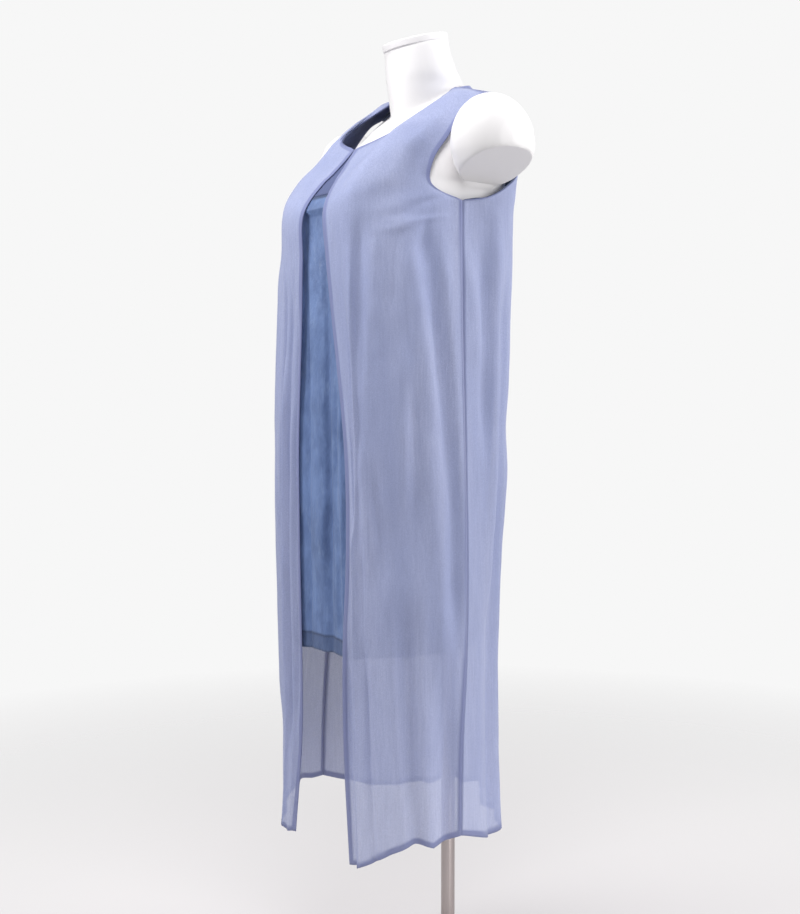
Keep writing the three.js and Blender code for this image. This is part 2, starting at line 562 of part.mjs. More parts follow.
// A closed wall between a grid of outer points and the same grid moved inwards against `normals`.
// Each quad is split along the shorter diagonal of `pattern`, so that layers that lie together,
// which share normals and pattern, never cross.
function wallGeometry(outerGrid, normals, outward, pattern) {
  const innerGrid = moved(outerGrid, normals, -CLOTH_WALL);
  const rows = outerGrid.length;
  const count = outerGrid[0].length;
  const positions = [];
  for (const grid of [outerGrid, innerGrid]) {
    for (const line of grid) {
      for (const p of line) {
        const q = place(p.x, p.y, p.z);
        positions.push(q.x, q.y, q.z);
      }
    }
  }
  const outer = (i, j) => i * count + j;
  const inner = (i, j) => rows * count + i * count + j;
  const index = [];
  const quad = (a, b, c, d, useOtherDiagonal = false) => {
    const corners = useOtherDiagonal ? [b, c, d, b, d, a] : [a, b, c, a, c, d];
    if (outward < 0) corners.reverse();
    index.push(...corners);
  };
  for (let i = 0; i < rows - 1; i += 1) {
    for (let j = 0; j < count - 1; j += 1) {
      const rising = pattern[i][j].distanceTo(pattern[i + 1][j + 1]);
      const falling = pattern[i + 1][j].distanceTo(pattern[i][j + 1]);
      const isFallingShorter = falling < rising;
      quad(outer(i, j), outer(i, j + 1), outer(i + 1, j + 1), outer(i + 1, j), isFallingShorter);
      quad(inner(i, j), inner(i + 1, j), inner(i + 1, j + 1), inner(i, j + 1), isFallingShorter);
    }
    quad(outer(i, 0), outer(i + 1, 0), inner(i + 1, 0), inner(i, 0));
    quad(outer(i, count - 1), inner(i, count - 1), inner(i + 1, count - 1), outer(i + 1, count - 1));
  }
  for (let j = 0; j < count - 1; j += 1) {
    quad(outer(0, j), inner(0, j), inner(0, j + 1), outer(0, j + 1));
    quad(outer(rows - 1, j), outer(rows - 1, j + 1), inner(rows - 1, j + 1), inner(rows - 1, j));
  }
  const geometry = new THREE.BufferGeometry();
  geometry.setAttribute('position', new THREE.Float32BufferAttribute(positions, 3));
  geometry.setIndex(index);
  geometry.computeVertexNormals();
  return geometry;
}

const FRONT_COLUMNS = ['edge', 'neck', 'ridge', 'cheek', 'side'];
const BACK_COLUMNS = ['side', 'blade', 'ridge', 'nape', 'centre'];
const SLIP_FRONT_COLUMNS = ['centre', 'bust', 'ridge', 'cheek', 'side'];
const SIDE_COLUMN = 4;
const FRONT_CORNERS = [2];
const BACK_CORNERS = [2, 6];
// The right shoulder hangs a little higher and stands away from the neck: how far out, back and up
// each column lies there.
const RIGHT_FRONT_LIFT = [
  { level: 'armhole', neck: [2.5, 0, 2], ridge: [0, 0, 6], cheek: [0, 0, 3] },
  { level: 'collar', neck: [3.5, -1, 3.5], ridge: [3, 0, 14], cheek: [0, 0, 8], side: [0, 0, 3] },
  { level: 'crest', neck: [4, -1.5, 4], ridge: [2, 0, 16], cheek: [0, 0, 12], side: [0, 0, 6] },
  { level: 'seam', neck: [4, -2, 4.5], ridge: [0, 0, 16], cheek: [0, 0, 12], side: [0, 0, 6] },
];
const RIGHT_BACK_LIFT = [
  { level: 'collar', nape: [0, 0, 3], ridge: [0, 0, 9], blade: [0, 0, 7], side: [0, 0, 3] },
  { level: 'crest', nape: [0, 0, 7], ridge: [0, 0, 15], blade: [0, 0, 11], side: [0, 0, 6] },
  { level: 'seam', nape: [0, 0, 7], ridge: [0, 0, 16], blade: [0, 0, 12], side: [0, 0, 6] },
];
const SEAM_END = BACK_ROWS.findIndex((row) => row.level === 'bust');
const ROW_STEPS = 2;
const BUST_LINE = SEAM_END * ROW_STEPS;      // grid row at the top of the side seams
const YOKE_LINE = BUST_LINE + 1;             // grid row where satin meets yoke
const FRONT_ACROSS = 10;
const BACK_ACROSS = 16;
const OUTER_CLEARANCE = FORM_CLEARANCE + 2 * CLOTH_WALL + LAYER_GAP;
const UNDER_OUTER = CLOTH_WALL + LAYER_GAP;  // from the outer layer's face to the slip's face

function addLift(points, columns, lifts, level) {
  const lift = lifts.find((entry) => entry.level === level) ?? {};
  points.forEach((p, k) => p.add(new THREE.Vector3(...(lift[columns[k]] ?? [0, 0, 0]))));
}

// A front panel: side is 1 for the wearer's left and -1 for the right.
function outerFrontGrid(side) {
  const rows = FRONT_ROWS.map((row) => {
    const sway = EDGE_SWAY.find((entry) => entry.level === row.level);
    const shift = sway ? (side > 0 ? sway.left : sway.right) : 0;
    const points = toPoints(row, FRONT_COLUMNS);
    points[0].x += shift;
    points[1].x += shift / 2;
    if (side < 0) addLift(points, FRONT_COLUMNS, RIGHT_FRONT_LIFT, row.level);
    for (const p of points) p.x *= side;
    return points;
  });
  const grid = smoothGrid(rows, FRONT_ACROSS, ROW_STEPS, [SIDE_COLUMN], SEAM_END, FRONT_CORNERS);
  return clearGrid(withFolds(grid, side > 0 ? LEFT_FOLDS : RIGHT_FOLDS, side), side);
}

// A half row from the side to the centre, and on to the other side.
function mirroredRow(points) {
  const other = points.slice(0, -1).map((p) => new THREE.Vector3(-p.x, p.y, p.z));
  return [...points, ...other.reverse()];
}

function outerBackGrid() {
  const rows = BACK_ROWS.map((row) => {
    const points = mirroredRow(toPoints(row, BACK_COLUMNS));
    addLift(points.slice(4).reverse(), BACK_COLUMNS, RIGHT_BACK_LIFT, row.level);
    return points;
  });
  const borders = [0, rows[0].length - 1];
  const grid = smoothGrid(rows, BACK_ACROSS, ROW_STEPS, borders, SEAM_END, BACK_CORNERS);
  return clearGrid(withFolds(grid, BACK_FOLDS, 1), 1);
}

const frontLeft = outerFrontGrid(1);
const frontRight = outerFrontGrid(-1);
const back = outerBackGrid();

const leftNormals = gridNormals(frontLeft, 1);
const rightNormals = gridNormals(frontRight, -1);
const backNormals = gridNormals(back, 1);

// Two front panels as one grid, whose rows run from the wearer's left side to the right side.
const joined = (left, right) => left.map((line, i) => [...line.slice().reverse(), ...right[i]]);
const fronts = joined(frontLeft, frontRight);
const frontNormals = joined(leftNormals, rightNormals);

// The upper slip lies under the outer layer: the same points, drawn in by one wall and the gap.
const underFronts = moved(fronts, frontNormals, -UNDER_OUTER);
const underBack = moved(back, backNormals, -UNDER_OUTER);

function slipYokeGeometry() {
  const grid = insetBorders(underFronts.slice(YOKE_LINE), ['first', 'last', 'top', 'bottom']);
  return wallGeometry(grid, frontNormals.slice(YOKE_LINE), -1, fronts.slice(YOKE_LINE));
}

function slipFrontGeometry() {
  const rows = SLIP_FRONT_ROWS.map((row) => toPoints(row, SLIP_FRONT_COLUMNS));
  const half = smoothGrid(rows, FRONT_ACROSS, ROW_STEPS);
  const lower = half.map((line) => {
    const other = line.map((p) => new THREE.Vector3(-p.x, p.y, p.z));
    return [...line.slice().reverse(), ...other];
  });
  const grid = [...lower, ...underFronts.slice(BUST_LINE + 1, YOKE_LINE + 1)];
  const normals = gridNormals(grid, -1);
  return wallGeometry(insetBorders(grid, ['first', 'last', 'top']), normals, -1, grid);
}

function slipBackGeometry() {
  const rows = SLIP_BACK_ROWS.map((row) => mirroredRow(toPoints(row, BACK_COLUMNS)));
  const lower = smoothGrid(rows, BACK_ACROSS, ROW_STEPS);
  const grid = [...lower, ...underBack.slice(BUST_LINE + 1)];
  const pattern = [...lower, ...back.slice(BUST_LINE + 1)];
  const lowerNormals = gridNormals(grid, 1).slice(0, lower.length);
  const normals = [...lowerNormals, ...backNormals.slice(BUST_LINE + 1)];
  return wallGeometry(insetBorders(grid, ['first', 'last', 'top']), normals, 1, pattern);
}

// ---------- the whole ----------

const dressOnForm = new THREE.Group();
function addPiece(name, geometry, material) {
  const mesh = new THREE.Mesh(geometry, material);
  mesh.name = name;
  dressOnForm.add(mesh);
}

const outerWall = (grid, normals, outward) => (
  wallGeometry(insetBorders(grid, ['first', 'last', 'top']), normals, outward, grid));
addPiece('outer_front_left', outerWall(frontLeft, leftNormals, 1), sheerCloth);
addPiece('outer_front_right', outerWall(frontRight, rightNormals, -1), sheerCloth);
addPiece('outer_back', outerWall(back, backNormals, 1), sheerCloth);
addPiece('slip_yoke', slipYokeGeometry(), sheerCloth);
addPiece('slip_front', slipFrontGeometry(), satinCloth);
addPiece('slip_back', slipBackGeometry(), satinCloth);
addPiece('form_torso', formGeometry(), formWhite);
addPiece('form_neck_cap', neckCapGeometry(), formWhite);
addPiece('stand_pole', poleGeometry(), poleMetal);
addPiece('stand_base', baseGeometry(), poleMetal);

export default dressOnForm;
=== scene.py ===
"""Looks of the two-layer summer dress on its dress form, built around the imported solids.

Garment tables are in millimetres: x from the middle towards the wearer's left, y from the plane
through the side seams at the hem, z from the hem at those seams. Everything else is in metres.
"""
import math
import random

import bpy
import numpy as np
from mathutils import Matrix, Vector, noise
from mathutils.bvhtree import BVHTree


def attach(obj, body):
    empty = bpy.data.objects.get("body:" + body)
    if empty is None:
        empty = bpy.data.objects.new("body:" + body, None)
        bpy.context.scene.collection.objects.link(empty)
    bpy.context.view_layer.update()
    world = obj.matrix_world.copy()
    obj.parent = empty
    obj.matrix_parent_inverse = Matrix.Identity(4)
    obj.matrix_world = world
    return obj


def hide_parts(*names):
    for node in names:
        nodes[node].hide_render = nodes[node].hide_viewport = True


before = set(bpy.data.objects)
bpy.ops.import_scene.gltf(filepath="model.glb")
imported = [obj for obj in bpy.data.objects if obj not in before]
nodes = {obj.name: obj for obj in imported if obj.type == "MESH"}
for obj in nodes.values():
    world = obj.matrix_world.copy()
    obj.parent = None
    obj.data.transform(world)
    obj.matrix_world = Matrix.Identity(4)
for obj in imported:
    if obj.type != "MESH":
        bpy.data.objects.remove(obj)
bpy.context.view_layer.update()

MM = 0.001
HEM_HEIGHT = 325       # hem at the side seams above the floor
POLE_BEHIND = 136      # pole axis behind the hem's side seams

# ---------- camera, light and floor ----------

VIEW_AZIMUTH = math.radians(52)
VIEW_DISTANCE = 2.0
VIEW_SIDEWAYS = 0.0225
VIEW_HEIGHT = 1.006
VIEW_PITCH = math.radians(-2.88)
LENS_MM = 47.27

ACROSS = Vector((math.cos(VIEW_AZIMUTH), math.sin(VIEW_AZIMUTH), 0))
AWAY = Vector((-math.sin(VIEW_AZIMUTH), math.cos(VIEW_AZIMUTH), 0))
GARMENT_AXIS = Vector((0, -POLE_BEHIND * MM, 0))


def look_along(obj, direction):
    obj.rotation_euler = direction.to_track_quat("-Z", "Y").to_euler()


def add_camera():
    data = bpy.data.cameras.new("view")
    data.lens = LENS_MM
    data.sensor_width = 36
    camera = bpy.data.objects.new("view", data)
    bpy.context.scene.collection.objects.link(camera)
    camera.location = GARMENT_AXIS + ACROSS * VIEW_SIDEWAYS - AWAY * VIEW_DISTANCE
    camera.location.z = VIEW_HEIGHT
    look_along(camera, AWAY * math.cos(VIEW_PITCH) + Vector((0, 0, math.sin(VIEW_PITCH))))
    bpy.context.scene.camera = camera


def add_area_light(name, place, target, size, power, color=(1, 1, 1)):
    data = bpy.data.lights.new(name, "AREA")
    data.shape = "DISK"
    data.size = size
    data.energy = power
    data.color = color
    light = bpy.data.objects.new(name, data)
    bpy.context.scene.collection.objects.link(light)
    light.location = place
    look_along(light, target - place)


def add_world():
    """A white backdrop for the camera; the light that comes from it is dimmer."""
    world = bpy.data.worlds.new("studio")
    world.use_nodes = True
    tree = world.node_tree
    ambient = tree.nodes["Background"]
    ambient.inputs["Color"].default_value = (0.97, 0.97, 1.0, 1)
    ambient.inputs["Strength"].default_value = 0.35
    backdrop = tree.nodes.new("ShaderNodeBackground")
    backdrop.inputs["Color"].default_value = (0.93, 0.93, 0.93, 1)
    path = tree.nodes.new("ShaderNodeLightPath")
    mix = tree.nodes.new("ShaderNodeMixShader")
    tree.links.new(path.outputs["Is Camera Ray"], mix.inputs[0])
    tree.links.new(ambient.outputs[0], mix.inputs[1])
    tree.links.new(backdrop.outputs[0], mix.inputs[2])
    tree.links.new(mix.outputs[0], tree.nodes["World Output"].inputs["Surface"])
    bpy.context.scene.world = world
    bpy.context.scene.view_settings.view_transform = "Standard"


def add_lights():
    """Soft lights, each placed across, away from and above the garment's middle as the camera sees it."""
    middle = GARMENT_AXIS + Vector((0, 0, 1.0))
    for name, across, away, up, size, power in (
            ("key", -1.7, -0.55, 1.15, 1.0, 31), ("top", 0.0, -0.7, 1.5, 0.8, 14),
            ("side", 1.7, 0.1, 0.8, 1.2, 26), ("front", 1.0, -1.2, -0.8, 1.2, 7)):
        place = middle + ACROSS * across + AWAY * away + Vector((0, 0, up))
        add_area_light(name, place, middle, size, power)


# ---------- materials ----------

def new_material(name):
    material = bpy.data.materials.new(name)
    material.use_nodes = True
    tree = material.node_tree
    return material, tree, tree.nodes["Principled BSDF"]


def add_node(tree, kind, **inputs):
    node = tree.nodes.new(kind)
    for key, value in inputs.items():
        node.inputs[key].default_value = value
    return node


def noise_value(tree, scale, detail=3.0, roughness=0.5, stretch=(1, 1, 1)):
    """Output of a noise texture in object space, stretched along the axes."""
    place = tree.nodes.new("ShaderNodeTexCoord")
    mapping = tree.nodes.new("ShaderNodeMapping")
    mapping.inputs["Scale"].default_value = stretch
    texture = add_node(tree, "ShaderNodeTexNoise", Scale=scale, Detail=detail, Roughness=roughness)
    tree.links.new(place.outputs["Object"], mapping.inputs["Vector"])
    tree.links.new(mapping.outputs["Vector"], texture.inputs["Vector"])
    return texture.outputs["Fac"]


def blend_color(tree, factor, low, high):
    mix = tree.nodes.new("ShaderNodeMix")
    mix.data_type = "RGBA"
    for socket, value in (("A", low), ("B", high)):
        target = [s for s in mix.inputs if s.name == socket and s.type == "RGBA"][0]
        if isinstance(value, tuple):
            target.default_value = (*value, 1)
        else:
            tree.links.new(value, target)
    if isinstance(factor, float):
        mix.inputs["Factor"].default_value = factor
    else:
        tree.links.new(factor, mix.inputs["Factor"])
    return [s for s in mix.outputs if s.type == "RGBA"][0]


def remap(tree, value, from_low, from_high, to_low, to_high):
    node = tree.nodes.new("ShaderNodeMapRange")
    node.inputs["From Min"].default_value = from_low
    node.inputs["From Max"].default_value = from_high
    node.inputs["To Min"].default_value = to_low
    node.inputs["To Max"].default_value = to_high
    tree.links.new(value, node.inputs["Value"])
    return node.outputs["Result"]


def layer_share(tree):
    """How much of a second layer lies under a point: 1 in hems and seam allowances."""
    node = tree.nodes.new("ShaderNodeAttribute")
    node.attribute_name = "doubled"
    return node.outputs["Fac"]


def add_bump(tree, shader, levels):
    """Stacks bumps: each level is a height output, a strength and a depth in metres."""
    normal = None
    for height, strength, depth in levels:
        bump = add_node(tree, "ShaderNodeBump", Strength=strength, Distance=depth)
        tree.links.new(height, bump.inputs["Height"])
        if normal:
            tree.links.new(normal, bump.inputs["Normal"])
        normal = bump.outputs["Normal"]
    tree.links.new(normal, shader.inputs["Normal"])


def sheer_material(name, light, dark, doubled, cover, doubled_cover):
    """Georgette: matt, slubbed and partly see-through, darker and denser where it is double."""
    material, tree, shader = new_material(name)
    cloudy = remap(tree, noise_value(tree, 16, 2, 0.5, (1, 1, 0.22)), 0.35, 0.65, 0, 1)
    slubs = remap(tree, noise_value(tree, 330, 2, 0.6, (1, 1, 0.07)), 0.3, 0.7, 0, 0.5)
    single = blend_color(tree, cloudy, light, dark)
    single = blend_color(tree, slubs, single, tuple(0.88 * value for value in dark))
    double = layer_share(tree)
    tree.links.new(blend_color(tree, double, single, doubled), shader.inputs["Base Color"])
    threads = noise_value(tree, 900, 2, 0.6)
    crinkle = noise_value(tree, 210, 3, 0.6, (1, 1, 0.3))
    open_weave = remap(tree, threads, 0.3, 0.7, cover - 0.08, cover + 0.08)
    mix = tree.nodes.new("ShaderNodeMix")
    tree.links.new(double, mix.inputs[0])
    tree.links.new(open_weave, mix.inputs[2])
    mix.inputs[3].default_value = doubled_cover
    tree.links.new(mix.outputs[0], shader.inputs["Alpha"])
    shader.inputs["Roughness"].default_value = 0.85
    shader.inputs["Specular IOR Level"].default_value = 0.2
    shader.inputs["Sheen Weight"].default_value = 0.2
    shader.inputs["Sheen Roughness"].default_value = 0.4
    add_bump(tree, shader, [(crinkle, 0.45, 0.0008), (threads, 0.3, 0.0002)])
    return material


def satin_material():
    """Washed satin: its colour mottled with painted sheen, with a soft uneven sheen from rough patches and
    small creases from washing.
    """
    material, tree, shader = new_material("satin")
    # Painted sheen: the base colour drifts in broad patches between a darker and a lighter tone of the same
    # satin.
    cloudy = remap(tree, noise_value(tree, 22, 5, 0.65, (1, 1, 0.5)), 0.36, 0.64, 0, 1)
    base = blend_color(tree, cloudy, (0.092, 0.148, 0.315), (0.162, 0.245, 0.475))
    # Painted highlights: small patches paler than either tone.
    sheen_patches = remap(tree, noise_value(tree, 90, 4, 0.7, (1, 1, 0.3)), 0.55, 0.75, 0, 0.55)
    base = blend_color(tree, sheen_patches, base, (0.23, 0.32, 0.53))
    color = blend_color(tree, layer_share(tree), base, (0.052, 0.078, 0.16))
    tree.links.new(color, shader.inputs["Base Color"])
    uneven = noise_value(tree, 28, 3, 0.6, (1, 1, 0.6))
    tree.links.new(remap(tree, uneven, 0.3, 0.7, 0.36, 0.56), shader.inputs["Roughness"])
    shader.inputs["Specular IOR Level"].default_value = 0.4
    shader.inputs["Anisotropic"].default_value = 0.3
    shader.inputs["Sheen Weight"].default_value = 0.1
    wash = noise_value(tree, 60, 4, 0.65, (1, 1, 0.5))
    grain = noise_value(tree, 1400, 1, 0.5, (1, 1, 0.3))
    add_bump(tree, shader, [(wash, 0.7, 0.004), (grain, 0.15, 0.0002)])
    return material


def thread_material(name, color):
    """Sewing thread: twisted, a little darker than its cloth."""
    material, tree, shader = new_material(name)
    twist = noise_value(tree, 1600, 2)
    darker = tuple(0.75 * value for value in color)
    tree.links.new(blend_color(tree, twist, darker, color), shader.inputs["Base Color"])
    shader.inputs["Roughness"].default_value = 0.6
    add_bump(tree, shader, [(twist, 0.3, 0.0002)])
    return material


def form_material():
    material, tree, shader = new_material("form_shell")
    mottle = noise_value(tree, 12, 2)
    color = blend_color(tree, mottle, (0.83, 0.815, 0.815), (0.81, 0.79, 0.795))
    tree.links.new(color, shader.inputs["Base Color"])
    shader.inputs["Roughness"].default_value = 0.5
    shader.inputs["Specular IOR Level"].default_value = 0.4
    add_bump(tree, shader, [(noise_value(tree, 600, 2), 0.08, 0.0003)])
    return material


def metal_material():
    material, tree, shader = new_material("stand_steel")
    brushed = noise_value(tree, 500, 2, 0.5, (1, 1, 0.02))
    color = blend_color(tree, brushed, (0.42, 0.37, 0.36), (0.52, 0.47, 0.46))
    tree.links.new(color, shader.inputs["Base Color"])
    tree.links.new(remap(tree, brushed, 0.3, 0.7, 0.26, 0.4), shader.inputs["Roughness"])
    shader.inputs["Metallic"].default_value = 1.0
    return material


def floor_material():
    """Pale floor that fades into the backdrop away from the object."""
    material, tree, shader = new_material("pale_floor")
    shader.inputs["Roughness"].default_value = 0.9
    mottle = noise_value(tree, 3, 2)
    color = blend_color(tree, mottle, (0.87, 0.84, 0.84), (0.89, 0.855, 0.855))
    tree.links.new(color, shader.inputs["Base Color"])
    place = tree.nodes.new("ShaderNodeTexCoord")
    length = tree.nodes.new("ShaderNodeVectorMath")
    length.operation = "LENGTH"
    tree.links.new(place.outputs["Object"], length.inputs[0])
    tree.links.new(remap(tree, length.outputs["Value"], 0.3, 2.4, 0.9, 0), shader.inputs["Alpha"])
    return material


def add_floor():
    bpy.ops.mesh.primitive_circle_add(vertices=96, radius=5.5, fill_type="NGON", location=(0, 0, -0.0005))
    floor = bpy.context.object
    floor.name = "floor"
    floor.data.materials.append(floor_material())


# ---------- curves and grids ----------

def curve_points(points, stations):
    """Centripetal Catmull-Rom curve through points (..., n, 3) at the stations, 0 to n - 1."""
    n = points.shape[-2]
    before = 2 * points[..., :1, :] - points[..., 1:2, :]
    after = 2 * points[..., -1:, :] - points[..., -2:-1, :]
    p = np.concatenate([before, points, after], axis=-2)
    gap = np.maximum(np.linalg.norm(np.diff(p, axis=-2), axis=-1), 1e-9) ** 0.5
    k = np.minimum(np.floor(stations + 1e-9).astype(int), n - 2)
    t = (stations - k)[:, None]
    p0, p1, p2, p3 = (p[..., k + i, :] for i in range(4))
    d0, d1, d2 = (gap[..., k + i][..., None] for i in range(3))
    start = ((p1 - p0) / d0 - (p2 - p0) / (d0 + d1) + (p2 - p1) / d1) * d1
    end = ((p2 - p1) / d1 - (p3 - p1) / (d1 + d2) + (p3 - p2) / d2) * d1
    return ((2 * t**3 - 3 * t**2 + 1) * p1 + (t**3 - 2 * t**2 + t) * start
            + (3 * t**2 - 2 * t**3) * p2 + (t**3 - t**2) * end)


def broken_curve(points, stations, stops):
    """The same curve, with a sharp turn at each inner stop."""
    parts = []
    for low, high in zip(stops[:-1], stops[1:]):
        is_last = high == stops[-1]
        inside = (stations >= low) & ((stations <= high) if is_last else (stations < high))
        parts.append(curve_points(points[..., low:high + 1, :], stations[inside] - low))
    return np.concatenate(parts, axis=-2)


def row_stations(rows, cell):
    """Stations along the columns of a control table, about a cell apart on its last column."""
    last = np.array([row[-1] for row in rows], dtype=float)
    stations = []
    for i in range(len(rows) - 1):
        span = np.linalg.norm(last[i + 1] - last[i])
        steps = max(2, math.ceil(span / cell - 0.5))
        stations.extend(i + k / steps for k in range(steps))
    return np.array([*stations, len(rows) - 1.0])


CORNER_SPANS = 2       # control spans below the shoulder over which the neck corners form


def cloth_grid(rows, down, across_steps, seam_columns=(), seam_end=0, corners=()):
    """Fine grid (rows, columns, 3) through a control table, with its rows at the stations `down`."""
    rows = np.array(list(rows), dtype=float)
    last = len(rows) - 1
    columns = []
    for k in range(rows.shape[1]):
        stops = [0, seam_end, last] if k in seam_columns else [0, last]
        columns.append(broken_curve(rows[:, k], down, stops))
    control = np.stack(columns, axis=1)
    spans = rows.shape[1] - 1
    across = np.linspace(0, spans, spans * across_steps + 1)
    smooth = curve_points(control, across)
    if corners:
        sharp = broken_curve(control, across, [0, *corners, spans])
        share = np.clip(1 - (last - down) / CORNER_SPANS, 0, 1)[:, None, None]
        smooth = smooth * (1 - share) + sharp * share
    return smooth


SHOULDER_SEAM_Y = 95
SEAM_BAND = 3


def unit(vectors):
    return vectors / np.maximum(np.linalg.norm(vectors, axis=-1, keepdims=True), 1e-9)


def grid_normals(grid, outward):
    """Normals of a grid. One counts little where a row and a column run almost alike."""
    normal = np.cross(unit(np.gradient(grid, axis=1)), unit(np.gradient(grid, axis=0))) * outward
    normal *= np.linalg.norm(normal, axis=2, keepdims=True)
    normal = unit(blurred(normal, 1))
    on_seam = np.abs(grid[-1, :, 1] - SHOULDER_SEAM_Y) < SEAM_BAND
    normal[-1, on_seam, 1] = 0
    normal[-1] = unit(normal[-1])
    return normal


def blurred(values, passes):
    for _ in range(passes):
        for axis in (0, 1):
            n = values.shape[axis]
            padded = np.concatenate([values.take([0], axis), values, values.take([-1], axis)], axis)
            values = sum(padded.take(range(k, n + k), axis) for k in range(3)) / 3
    return values


def border_distances(grid):
    """Distance in mm of each grid point to the first column, last column, bottom and top row."""
    steps = np.linalg.norm(np.diff(grid, axis=1), axis=2)
    first = np.concatenate([np.zeros((len(grid), 1)), np.cumsum(steps, axis=1)], axis=1)
    rise = np.linalg.norm(np.diff(grid, axis=0), axis=2)
    bottom = np.concatenate([np.zeros((1, grid.shape[1])), np.cumsum(rise, axis=0)], axis=0)
    return {"first": first, "last": first[:, -1:] - first, "bottom": bottom, "top": bottom[-1:] - bottom}


def smoothstep(value, low, high):
    t = np.clip((value - low) / (high - low), 0, 1)
    return t * t * (3 - 2 * t)


# ---------- the garment's tables ----------

# Rows from hem to shoulder. Front columns: open edge, neck, ridge, cheek, side.
FRONT_ROWS = {
    "hem": [(86, -126, -52), (112, -130, -46), (138, -124, -34), (177, -68, -1), (192, 0, 0)],
    "shin": [(59, -131, 130), (96, -131, 130), (131, -126, 130), (176, -70, 130), (190, 4, 130)],
    "knee": [(58, -140, 274), (95, -138, 274), (128, -131, 274), (174, -70, 274), (188, 14, 274)],
    "thigh": [(66, -143, 440), (97, -142, 440), (125, -137, 440), (170, -72, 440), (183, 19, 440)],
    "hip": [(64, -144, 600), (92, -144, 600), (118, -140, 600), (163, -75, 600), (176, 21, 600)],
    "waist": [(43, -144, 800), (75, -144, 800), (105, -140, 800), (154, -76, 800), (167, 23, 800)],
    "rib": [(33, -148, 900), (66, -147, 900), (99, -141, 900), (150, -70, 900), (163, 25, 900)],
    "bust": [(27, -147, 972), (62, -146, 980), (95, -140, 986), (147, -50, 985), (160, 27, 987)],
    "apex": [(16, -114, 1022), (55, -116, 1027), (92, -113, 1032), (137, -50, 1022), (143, -22, 1010)],
    "chest": [(10, -100, 1037), (55, -92, 1051), (88, -80, 1067), (123, -44, 1064), (138, -13, 1048)],
    "armhole": [(4, -80, 1060), (61, -62, 1080), (86, -44, 1102), (117, -9, 1104), (138, 16, 1088)],
    "collar": [(1.8, -70, 1072), (65, -44, 1096), (79, 4, 1134), (112, 26, 1136), (138, 42, 1123)],
    "crest": [(1, -66, 1077.5), (66, -34, 1102), (77, 60, 1170), (106, 68, 1174), (139, 70, 1152)],
    "seam": [(0.8, -65, 1079), (66, -32, 1104), (62, 95, 1190), (101, 95, 1181), (140, 95, 1168)],
}
# Sideways shift of the left and the right open edge, level by level.
EDGE_SWAY = {
    "hem": (-18, 2), "shin": (0, 0), "knee": (12, -12), "thigh": (18, -20), "hip": (17, -18),
    "waist": (6, -7), "rib": (5, -6), "bust": (3, -3),
}
# The right shoulder hangs a little higher and stands away from the neck: how far out, back and up
# the columns lie there, from the open edge to the side and from the side to the centre back.
RIGHT_FRONT_LIFT = {
    "armhole": [(0, 0, 0), (5, 0, 4), (0, 0, 6), (0, 0, 3), (0, 0, 0)],
    "collar": [(0, 0, 0), (7, -2, 7), (3, 0, 14), (0, 0, 8), (0, 0, 3)],
    "crest": [(0, 0, 0), (8, -3, 8), (2, 0, 16), (0, 0, 12), (0, 0, 6)],
    "seam": [(0, 0, 0), (8, -4, 9), (0, 0, 16), (0, 0, 12), (0, 0, 6)],
}
RIGHT_BACK_LIFT = {
    "collar": [(0, 0, 3), (0, 0, 7), (0, 0, 9), (0, 0, 3), (0, 0, 0)],
    "crest": [(0, 0, 6), (0, 0, 11), (0, 0, 15), (0, 0, 7), (0, 0, 0)],
    "seam": [(0, 0, 6), (0, 0, 12), (0, 0, 16), (0, 0, 7), (0, 0, 0)],
}

# Half of the back. Columns: side, blade, ridge, nape, centre.
BACK_ROWS = {
    "hem": [(192, 0, 0), (157, 104, -34), (95, 152, -26), (45, 171, -6), (0, 176, 0)],
    "shin": [(190, 4, 130), (150, 101, 130), (90, 151, 130), (44, 167, 130), (0, 172, 130)],
    "knee": [(188, 14, 274), (147, 105, 274), (88, 153, 274), (43, 167, 274), (0, 171, 274)],
    "thigh": [(183, 19, 440), (146, 115, 440), (87, 160, 440), (42, 171, 440), (0, 174, 440)],
    "hip": [(176, 21, 600), (150, 128, 600), (87, 169, 600), (42, 177, 600), (0, 179, 600)],
    "waist": [(167, 23, 800), (150, 138, 800), (86, 180, 800), (42, 188, 800), (0, 190, 800)],
    "rib": [(163, 25, 900), (149, 141, 900), (88, 187, 900), (43, 195, 900), (0, 197, 900)],
    "bust": [(160, 27, 987), (148, 142, 985), (89, 190, 984), (43, 199, 984), (0, 201, 984)],
    "underarm": [(161, 76, 996), (145, 152, 1006), (89, 191, 1014), (43, 199, 1018), (0, 201, 1019)],
    "blade": [(156, 120, 1015), (138, 164, 1032), (87, 190, 1046), (43, 198, 1052), (0, 200, 1053)],
    "armhole": [(151, 152, 1040), (130, 176, 1062), (84, 189, 1078), (42, 196, 1084), (0, 198, 1086)],
    "yoke": [(147, 168, 1100), (123, 178, 1111), (80, 185, 1117), (40, 191, 1122), (0, 193, 1124)],
    "collar": [(144, 152, 1152), (116, 159, 1158), (75, 171, 1160), (40, 183, 1160), (0, 186, 1162)],
    "crest": [(141, 122, 1168), (107, 125, 1178), (66, 126, 1187), (45, 157, 1194), (0, 172, 1190)],
    "seam": [(140, 95, 1168), (101, 95, 1181), (62, 95, 1190), (46, 143, 1204), (0, 166, 1200)],
}

